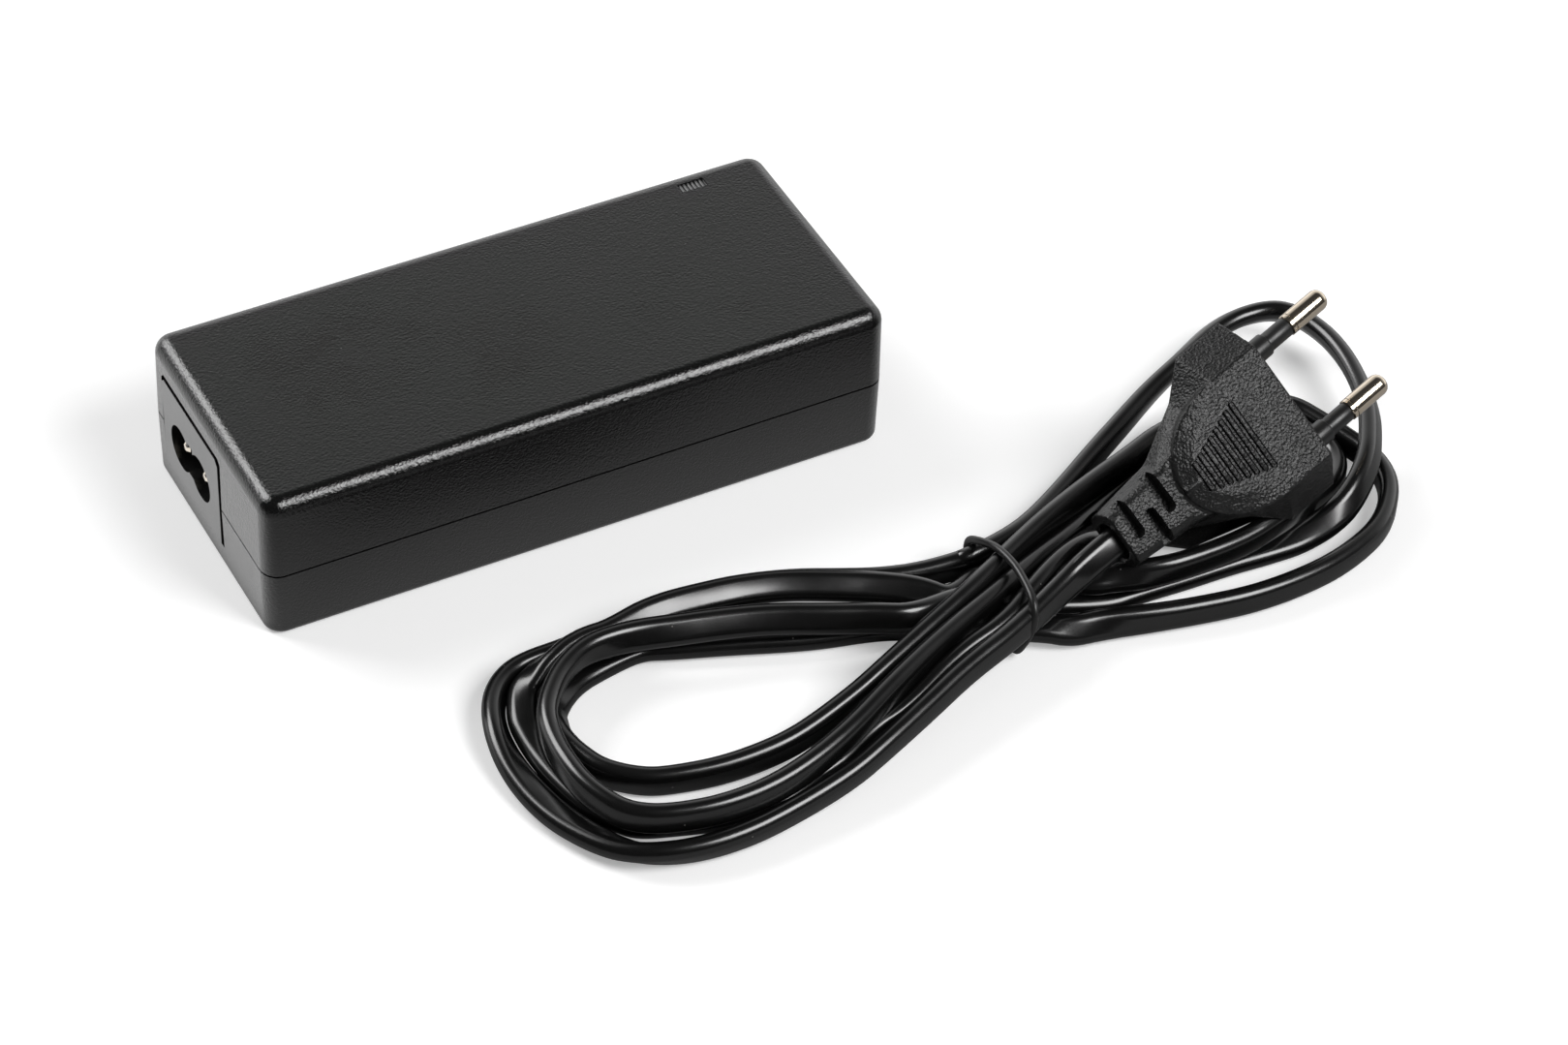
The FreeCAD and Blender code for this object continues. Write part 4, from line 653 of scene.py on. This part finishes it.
# the pins and their sleeves are turned: each profile is the distance along the pin and the radius
pinValues = {
    "spacing": 18.6,
    "pin": [(9.6, 1.35), (10.0, 1.35), (10.0, 1.84), (10.15, 2.0), (10.75, 2.0), (10.84, 1.9), (10.96, 1.9),
            (11.05, 2.0), (17.5, 2.0), (17.95, 1.93), (18.35, 1.75), (18.68, 1.45),
            (18.9, 1.05), (19.0, 0.55), (19.0, 0.0)],
    "sleeve": [(0.0, 1.36), (-0.5, 1.36), (-0.5, 2.2), (4.45, 2.2), (4.7, 2.14), (4.8, 1.95), (4.86, 1.80),
               (5.1, 1.74), (5.3, 1.8), (9.75, 1.8), (9.97, 1.72), (10.0, 1.60), (10.0, 1.36)],
}
pins, sleeves = [], []
for side, label in ((-1, "front"), (1, "back")):
    shift = Matrix.Translation((0, side * pinValues["spacing"] / 2 * mm, 0))
    pin = placed(turned(f"plugPin_{label}", pinValues["pin"]), plugPose() @ shift)
    pins.append(complete(pin, pinNickel, "mains_lead", [f"plug_pin_{label}"], angle=40))
    sleeve = placed(turned(f"pinSleeve_{label}", pinValues["sleeve"]), plugPose() @ shift)
    sleeves.append(complete(sleeve, sleevePlastic, "mains_lead", [f"pin_sleeve_{label}"], angle=40))
connector = complete(softened("leadConnector", "connector_body", width=0.45), plugRubber, "mains_lead",
                     ["connector_body"], flatFaces=True)
print("pins, sleeves and connector made")


# the case: each half starts as a block, drafted towards its outer face and hollowed
caseValues = {
    "length": 119.0, "width": 51.0, "height": 30.0, "seam": 13.8, "wall": 2.2, "corner": 3.4,
    "topEdge": 3.0, "baseEdge": 1.4, "topDraft": 0.65, "baseDraft": 0.8,
    "cornerSteps": 10, "edgeSteps": 8,
    "seamGap": 0.16, "seamEdge": 0.06,      # each half stops this far from the seam, with its rim softened
}


def onRim(p, inset=0.6):
    # near the outside of the wall
    v = caseValues
    r = v["corner"]
    x = max(abs(p.x) - (v["length"] / 2 - r), 0)
    y = max(abs(p.y) - (v["width"] / 2 - r), 0)
    return math.hypot(x, y) > r - inset


def caseHalf(name, rim, outer, draft, edge):
    v = caseValues
    way = 1 if outer > rim else -1
    shell = block(name, (v["length"], v["width"], abs(outer - rim)), (0, 0, (outer + rim) / 2))
    inset = abs(outer - rim) * math.tan(math.radians(draft))
    pick(shell, "FACE", lambda p, n: n.z * way > 0.9)
    bpy.ops.transform.resize(value=(1 - 2 * inset / v["length"], 1 - 2 * inset / v["width"], 1),
                             center_override=(0, 0, 0))
    done()
    rounded(shell, "Z", v["corner"], v["cornerSteps"])
    pick(shell, "EDGE", lambda a, b: abs(a.z - outer) < 0.01 and abs(b.z - outer) < 0.01)
    bpy.ops.mesh.bevel(offset=edge * mm, segments=v["edgeSteps"], affect="EDGES")
    done()
    pick(shell, "FACE", lambda p, n: n.z * way < -0.9)
    bpy.ops.mesh.delete(type="FACE")
    done()
    applied(shell, "SOLIDIFY", thickness=v["wall"] * mm, offset=-1, use_even_offset=True)
    pick(shell, "EDGE", lambda a, b: abs(a.z - rim) < 0.05 and abs(b.z - rim) < 0.05 and onRim(a) and onRim(b))
    bpy.ops.mesh.bevel(offset=v["seamEdge"] * mm, segments=2, affect="EDGES")
    done()
    return shell


inletValues = {
    "wideGap": 1.15, "narrowGap": 0.03,     # above and in front of the plate, and on its other two sides
    "plateSlice": 0.3,                      # the plate is what lies this close to the housing's face
    "windowDepth": 5.0, "windowMiddle": -58.6, "windowCorner": 0.95,
    "flush": 0.26,                          # brings the plate and its pins out to the case's face
    "plateEdge": 0.07, "pinEdge": 0.12,
}


def inletWindow():
    v = inletValues
    spots = [vertex.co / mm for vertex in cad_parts["inlet_housing"].data.vertices]
    face = min(spot.x for spot in spots)
    plate = [spot for spot in spots if spot.x < face + v["plateSlice"]]
    front, rear = min(spot.y for spot in plate) - v["wideGap"], max(spot.y for spot in plate) + v["narrowGap"]
    base, top = min(spot.z for spot in plate) - v["narrowGap"], max(spot.z for spot in plate) + v["wideGap"]
    middle = (v["windowMiddle"], (front + rear) / 2, (base + top) / 2)
    tool = block("inletTool", (v["windowDepth"], rear - front, top - base), middle)
    # only its upper corners are cut off
    pick(tool, "EDGE", lambda a, b: abs(a.x - b.x) > 1 and a.z > middle[2])
    bpy.ops.mesh.bevel(offset=v["windowCorner"] * mm, segments=1, affect="EDGES")
    done()
    return tool


outputValues = {
    "window": (5.0, 13.24, 11.24), "middle": (58.6, 0, 13.8), "corner": 1.2,
    "edge": 0.2, "pinEdge": 0.15,
}


def jackWindow():
    v = outputValues
    return rounded(block("jackTool", v["window"], v["middle"]), "X", v["corner"], 5)


lightValues = {
    "slot": (5.16, 2.26, 6.0), "middle": (44.0, 20.8, 29.5),
    "plate": 1.2, "plateDrop": 1.05,        # its thickness, and its middle below the window's top
    "ribs": 8, "ribRadius": 0.40, "ribEdge": 0.05,      # the radius as a share of the pitch
}

lid = caseHalf("caseLid", caseValues["seam"] + caseValues["seamGap"], caseValues["height"], caseValues["topDraft"],
               caseValues["topEdge"])
tub = caseHalf("caseTub", caseValues["seam"] - caseValues["seamGap"], 0.0, caseValues["baseDraft"],
               caseValues["baseEdge"])
for shell in (lid, tub):
    combine(shell, inletWindow())
    combine(shell, jackWindow())
combine(lid, block("slotTool", lightValues["slot"], lightValues["middle"]))
complete(lid, casePlastic, "adapter", ["top_shell"], flatFaces=True)
complete(tub, casePlastic, "adapter", ["bottom_shell"], flatFaces=True)
print("case made")

outwards = Matrix.Translation((-inletValues["flush"] * mm, 0, 0))
moulding = softened("inletMoulding", "inlet_housing", inletValues["plateEdge"], segments=2)
complete(placed(moulding, outwards), inletPlastic, "adapter", ["inlet_housing"], flatFaces=True)
complete(softened("outputMoulding", "output_socket", outputValues["edge"]), inletPlastic, "adapter",
         ["output_socket"], flatFaces=True)
for label in ("front", "back"):
    pin = softened(f"inletPin_{label}", f"inlet_pin_{label}", inletValues["pinEdge"], angle=25)
    complete(placed(pin, outwards), inletMetal, "adapter", [f"inlet_pin_{label}"])
complete(softened("outputPin", "output_pin", outputValues["pinEdge"]), inletMetal, "adapter",
         ["output_pin"])


def makeLightWindow():
    # a plate with short round ribs side by side
    v = lightValues
    low, high = (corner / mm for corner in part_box("light_pipe"))
    size, middle = high - low, (low + high) / 2
    pitch = size.x / v["ribs"]
    radius = pitch * v["ribRadius"]
    plate = block("lightWindow", (size.x, size.y, v["plate"]), (middle.x, middle.y, high.z - v["plateDrop"]))
    ribs = []
    for i in range(v["ribs"]):
        rib = rod("windowRib", radius, size.y, (low.x + (i + 0.5) * pitch, low.y, high.z - radius), "Y", 16)
        pick(rib, "FACE", lambda p, n: abs(n.y) > 0.9)
        bpy.ops.mesh.bevel(offset=v["ribEdge"] * mm, segments=1, affect="EDGES")
        done()
        ribs.append(rib)
    window = joined("lightWindow", plate, *ribs)
    return complete(window, windowPlastic, "adapter", ["light_pipe"], angle=40)


makeLightWindow()
print("inlet, output and light made")


# what the case holds keeps its CAD shape
innerFinishes = {
    "circuit_board": finish("boardLaminate", (0.03, 0.16, 0.07, 1), (0.04, 0.19, 0.08, 1), rough=0.38, cells=1800.0),
    "insulation_sheet": finish("filmSheet", (0.75, 0.73, 0.62, 1), (0.70, 0.68, 0.58, 1), rough=0.30, cells=700.0),
    "heat_shield": finish("shieldMetal", (0.70, 0.70, 0.70, 1), (0.62, 0.62, 0.62, 1), rough=0.30, Metallic=1.0),
    "transformer_core": finish("ferrite", (0.045, 0.043, 0.042, 1), (0.06, 0.058, 0.056, 1), rough=0.6, depth=0.05),
    "transformer_bobbin": finish("bobbinPlastic", (0.025, 0.025, 0.027, 1), rough=0.42),
    "transformer_winding": finish("windingTape", (0.75, 0.55, 0.05, 1), (0.80, 0.62, 0.09, 1), rough=0.28,
                                  cells=500.0),
    "bulk_capacitor": finish("canSleeve", (0.03, 0.035, 0.06, 1), (0.04, 0.045, 0.08, 1), rough=0.25, cells=500.0),
    "output_capacitors": finish("smallCanSleeve", (0.02, 0.05, 0.04, 1), (0.03, 0.07, 0.05, 1), rough=0.25,
                                cells=500.0),
    "choke_core": finish("chokeFerrite", (0.05, 0.10, 0.07, 1), (0.06, 0.12, 0.08, 1), rough=0.5),
    "choke_windings": finish("copperWire", (0.72, 0.28, 0.12, 1), (0.80, 0.34, 0.16, 1), rough=0.28, Metallic=1.0),
    "output_choke": finish("rodChoke", (0.06, 0.058, 0.055, 1), rough=0.55),
    "x_capacitor": finish("filmCase", (0.70, 0.55, 0.10, 1), (0.75, 0.60, 0.14, 1), rough=0.35),
    "y_capacitor": finish("blueCoating", (0.06, 0.18, 0.45, 1), (0.08, 0.22, 0.50, 1), rough=0.35),
    "surge_absorber": finish("discCoating", (0.10, 0.30, 0.16, 1), (0.12, 0.34, 0.20, 1), rough=0.40),
    "mains_fuse": finish("fuseTube", (0.55, 0.52, 0.44, 1), (0.62, 0.60, 0.52, 1), rough=0.20),
    "bridge_rectifier": finish("epoxyBlock", (0.022, 0.022, 0.024, 1), rough=0.48),
    "switching_transistor": finish("transistorEpoxy", (0.020, 0.020, 0.022, 1), rough=0.48),
    "output_rectifier": finish("diodeEpoxy", (0.020, 0.021, 0.022, 1), rough=0.48),
    "optocoupler": finish("isolatorEpoxy", (0.55, 0.53, 0.48, 1), (0.60, 0.58, 0.52, 1), rough=0.45),
    "primary_heat_sink": finish("sinkMetal", (0.66, 0.66, 0.67, 1), (0.58, 0.58, 0.60, 1), rough=0.38, Metallic=1.0),
    "secondary_heat_sink": finish("farSinkMetal", (0.64, 0.64, 0.65, 1), (0.58, 0.58, 0.60, 1), rough=0.38,
                                  Metallic=1.0),
    "status_light": finish("lampEpoxy", (0.12, 0.45, 0.16, 1), (0.16, 0.50, 0.20, 1), rough=0.22),
    "connector_contacts": finish("contactBrass", (0.62, 0.46, 0.22, 1), (0.70, 0.52, 0.26, 1), rough=0.25,
                                 Metallic=1.0),
}
for name, material in innerFinishes.items():
    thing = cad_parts[name]
    if not thing.material_slots:
        thing.data.materials.append(material)
    for slot in thing.material_slots:
        slot.material = material
print("inner parts finished")


# studio: a white table, one soft box behind on the left and one in front on the right, a pale sweep behind
studioValues = {
    "table": 8, "tableDrop": 0.04,          # its size in m, and how far it lies under the object in mm
    "floor": 0.80,
    "lift": 0.34,                           # how much brighter the camera sees the table
    "paintedShineFloor": 0.32,                     # the table's shade in shiny surfaces: painted shade, darker than the lit table
    # painted reflections: the table glows in shiny surfaces only, though it is no lamp, beside the inlet's end, by X,
    # and in front, by Y: from, to and how much
    "paintedEndGlow": (-0.0585, -0.0612, 0.93), "paintedFrontGlow": (-0.052, -0.026, 0.35),
    "paintedEndGlowSpan": (-0.040, -0.016),            # between these Y the painted glow beside the end comes up
    "ambient": 0.16,
    "boxes": [((-0.521, 0.785, 0.845), 0.66, 10.0), ((0.43, -0.72, 0.87), 0.54, 10.5)],     # place, size, power
    "aim": (0.03, -0.03, 0.01),
    "sweepWay": (0.49, 0.87, 0.0),          # the sweep stands on this side
    "sweepEdge": (-0.05, 0.60), "sweepTop": (0.80, 0.69),
    "sweepLevels": (1.7, 0.50),             # its brightness at the foot and at the top
    "roomLevel": 0.05,
}


def seenBy(tree, *kinds):
    # 1 for a ray of any of these kinds
    rays = node(tree, "LightPath")
    total = rays.outputs[f"Is {kinds[0]} Ray"]
    for kind in kinds[1:]:
        total = node(tree, "Math", [(0, total), (1, rays.outputs[f"Is {kind} Ray"])], operation="MAXIMUM").outputs[0]
    return total


def makeFloor():
    v = studioValues
    clear()
    bpy.ops.mesh.primitive_plane_add(size=1, location=(0, 0, 0))
    floor = bpy.context.object
    floor.name = "studioFloor"
    floor.data.transform(Matrix.Translation((0, 0, -v["tableDrop"] * mm)) @ Matrix.Scale(v["table"], 4))
    material = bpy.data.materials.new("paleFloor")
    material.use_nodes = True
    tree = material.node_tree
    bsdf = tree.nodes["Principled BSDF"]
    bsdf.inputs["Roughness"].default_value = 0.7
    bsdf.inputs["Specular IOR Level"].default_value = 0.1
    bsdf.inputs["Emission Color"].default_value = (1, 1, 1, 1)
    shiny = seenBy(tree, "Glossy")
    # painted shade: shiny surfaces see the table in a darker colour than the one it is lit with
    shade = node(tree, "Mix", [(0, shiny)], data_type="RGBA")
    shade.inputs[6].default_value, shade.inputs[7].default_value = grey(v["floor"]), grey(v["paintedShineFloor"])
    tree.links.new(shade.outputs[2], bsdf.inputs["Base Color"])
    place = node(tree, "SeparateXYZ", [(0, node(tree, "TexCoord").outputs["Object"])])
    # painted reflections: the table glows beside the inlet's end and in front of the case, in shiny surfaces only
    paintedGlows = [node(tree, "MapRange", [("Value", place.outputs[letter])], in_From_Min=start, in_From_Max=end,
                  in_To_Max=level).outputs["Result"]
             for letter, (start, end, level) in (("X", v["paintedEndGlow"]), ("Y", v["paintedFrontGlow"]))]
    paintedEndFade = node(tree, "MapRange", [("Value", place.outputs["Y"])], in_From_Min=v["paintedEndGlowSpan"][0],
                  in_From_Max=v["paintedEndGlowSpan"][1])
    beside = node(tree, "Math", [(0, paintedGlows[0]), (1, paintedEndFade.outputs["Result"])], operation="MULTIPLY")
    paintedGlow = node(tree, "Math", [(0, beside.outputs[0]), (1, paintedGlows[1])], operation="MAXIMUM")
    paintedReflectionGlow = node(tree, "Math", [(0, shiny), (1, paintedGlow.outputs[0])], operation="MULTIPLY")
    # the camera sees the table's even lift, and shiny surfaces see the painted glow
    lift = node(tree, "Mix", [(0, seenBy(tree, "Camera", "Transmission")), (2, paintedReflectionGlow.outputs[0])])
    lift.inputs[3].default_value = v["lift"]
    tree.links.new(lift.outputs[0], bsdf.inputs["Emission Strength"])
    floor.data.materials.append(material)


def makeSurround():
    # white to the camera, and to shiny surfaces a white sweep behind that ends above, with a dim room round it
    v = studioValues
    world = bpy.data.worlds.new("studio")
    bpy.context.scene.world = world
    world.use_nodes = True
    tree = world.node_tree
    way = node(tree, "TexCoord").outputs["Generated"]
    aside = node(tree, "VectorMath", [(0, way)], operation="DOT_PRODUCT")
    aside.inputs[1].default_value = v["sweepWay"]
    height = node(tree, "SeparateXYZ", [(0, way)])
    behind = node(tree, "MapRange", [("Value", aside.outputs["Value"])], interpolation_type="SMOOTHSTEP",
                  in_From_Min=v["sweepEdge"][0], in_From_Max=v["sweepEdge"][1])
    below = node(tree, "MapRange", [("Value", height.outputs["Z"])], interpolation_type="SMOOTHSTEP",
                 in_From_Min=v["sweepTop"][0], in_From_Max=v["sweepTop"][1])
    sweep = node(tree, "Math", [(0, behind.outputs["Result"]), (1, below.outputs["Result"])], operation="MULTIPLY")
    level = node(tree, "MapRange", [("Value", height.outputs["Z"])], in_From_Max=v["sweepTop"][1],
                 in_To_Min=v["sweepLevels"][0], in_To_Max=v["sweepLevels"][1])
    shown = node(tree, "Mix", [(0, sweep.outputs[0]), (3, level.outputs["Result"])])
    shown.inputs[2].default_value = v["roomLevel"]
    glossy = node(tree, "Mix", [(0, seenBy(tree, "Glossy")), (3, shown.outputs[0])])
    glossy.inputs[2].default_value = v["ambient"]
    seen = node(tree, "Mix", [(0, seenBy(tree, "Camera", "Transmission")), (2, glossy.outputs[0])])
    seen.inputs[3].default_value = 1.0
    tree.nodes["Background"].inputs["Color"].default_value = (1, 1, 1, 1)
    tree.links.new(seen.outputs[0], tree.nodes["Background"].inputs["Strength"])


def makeLamps():
    for i, (place, size, power) in enumerate(studioValues["boxes"]):
        data = bpy.data.lights.new(f"softBox_{i}", "AREA")
        data.size, data.energy = size, power
        lamp = bpy.data.objects.new(f"softBox_{i}", data)
        lamp.location = place
        lamp.rotation_euler = (Vector(studioValues["aim"]) - Vector(place)).to_track_quat("-Z", "Y").to_euler()
        bpy.context.collection.objects.link(lamp)


makeFloor()
makeSurround()
makeLamps()
bpy.context.scene.view_settings.view_transform = "Standard"
print("studio lit")
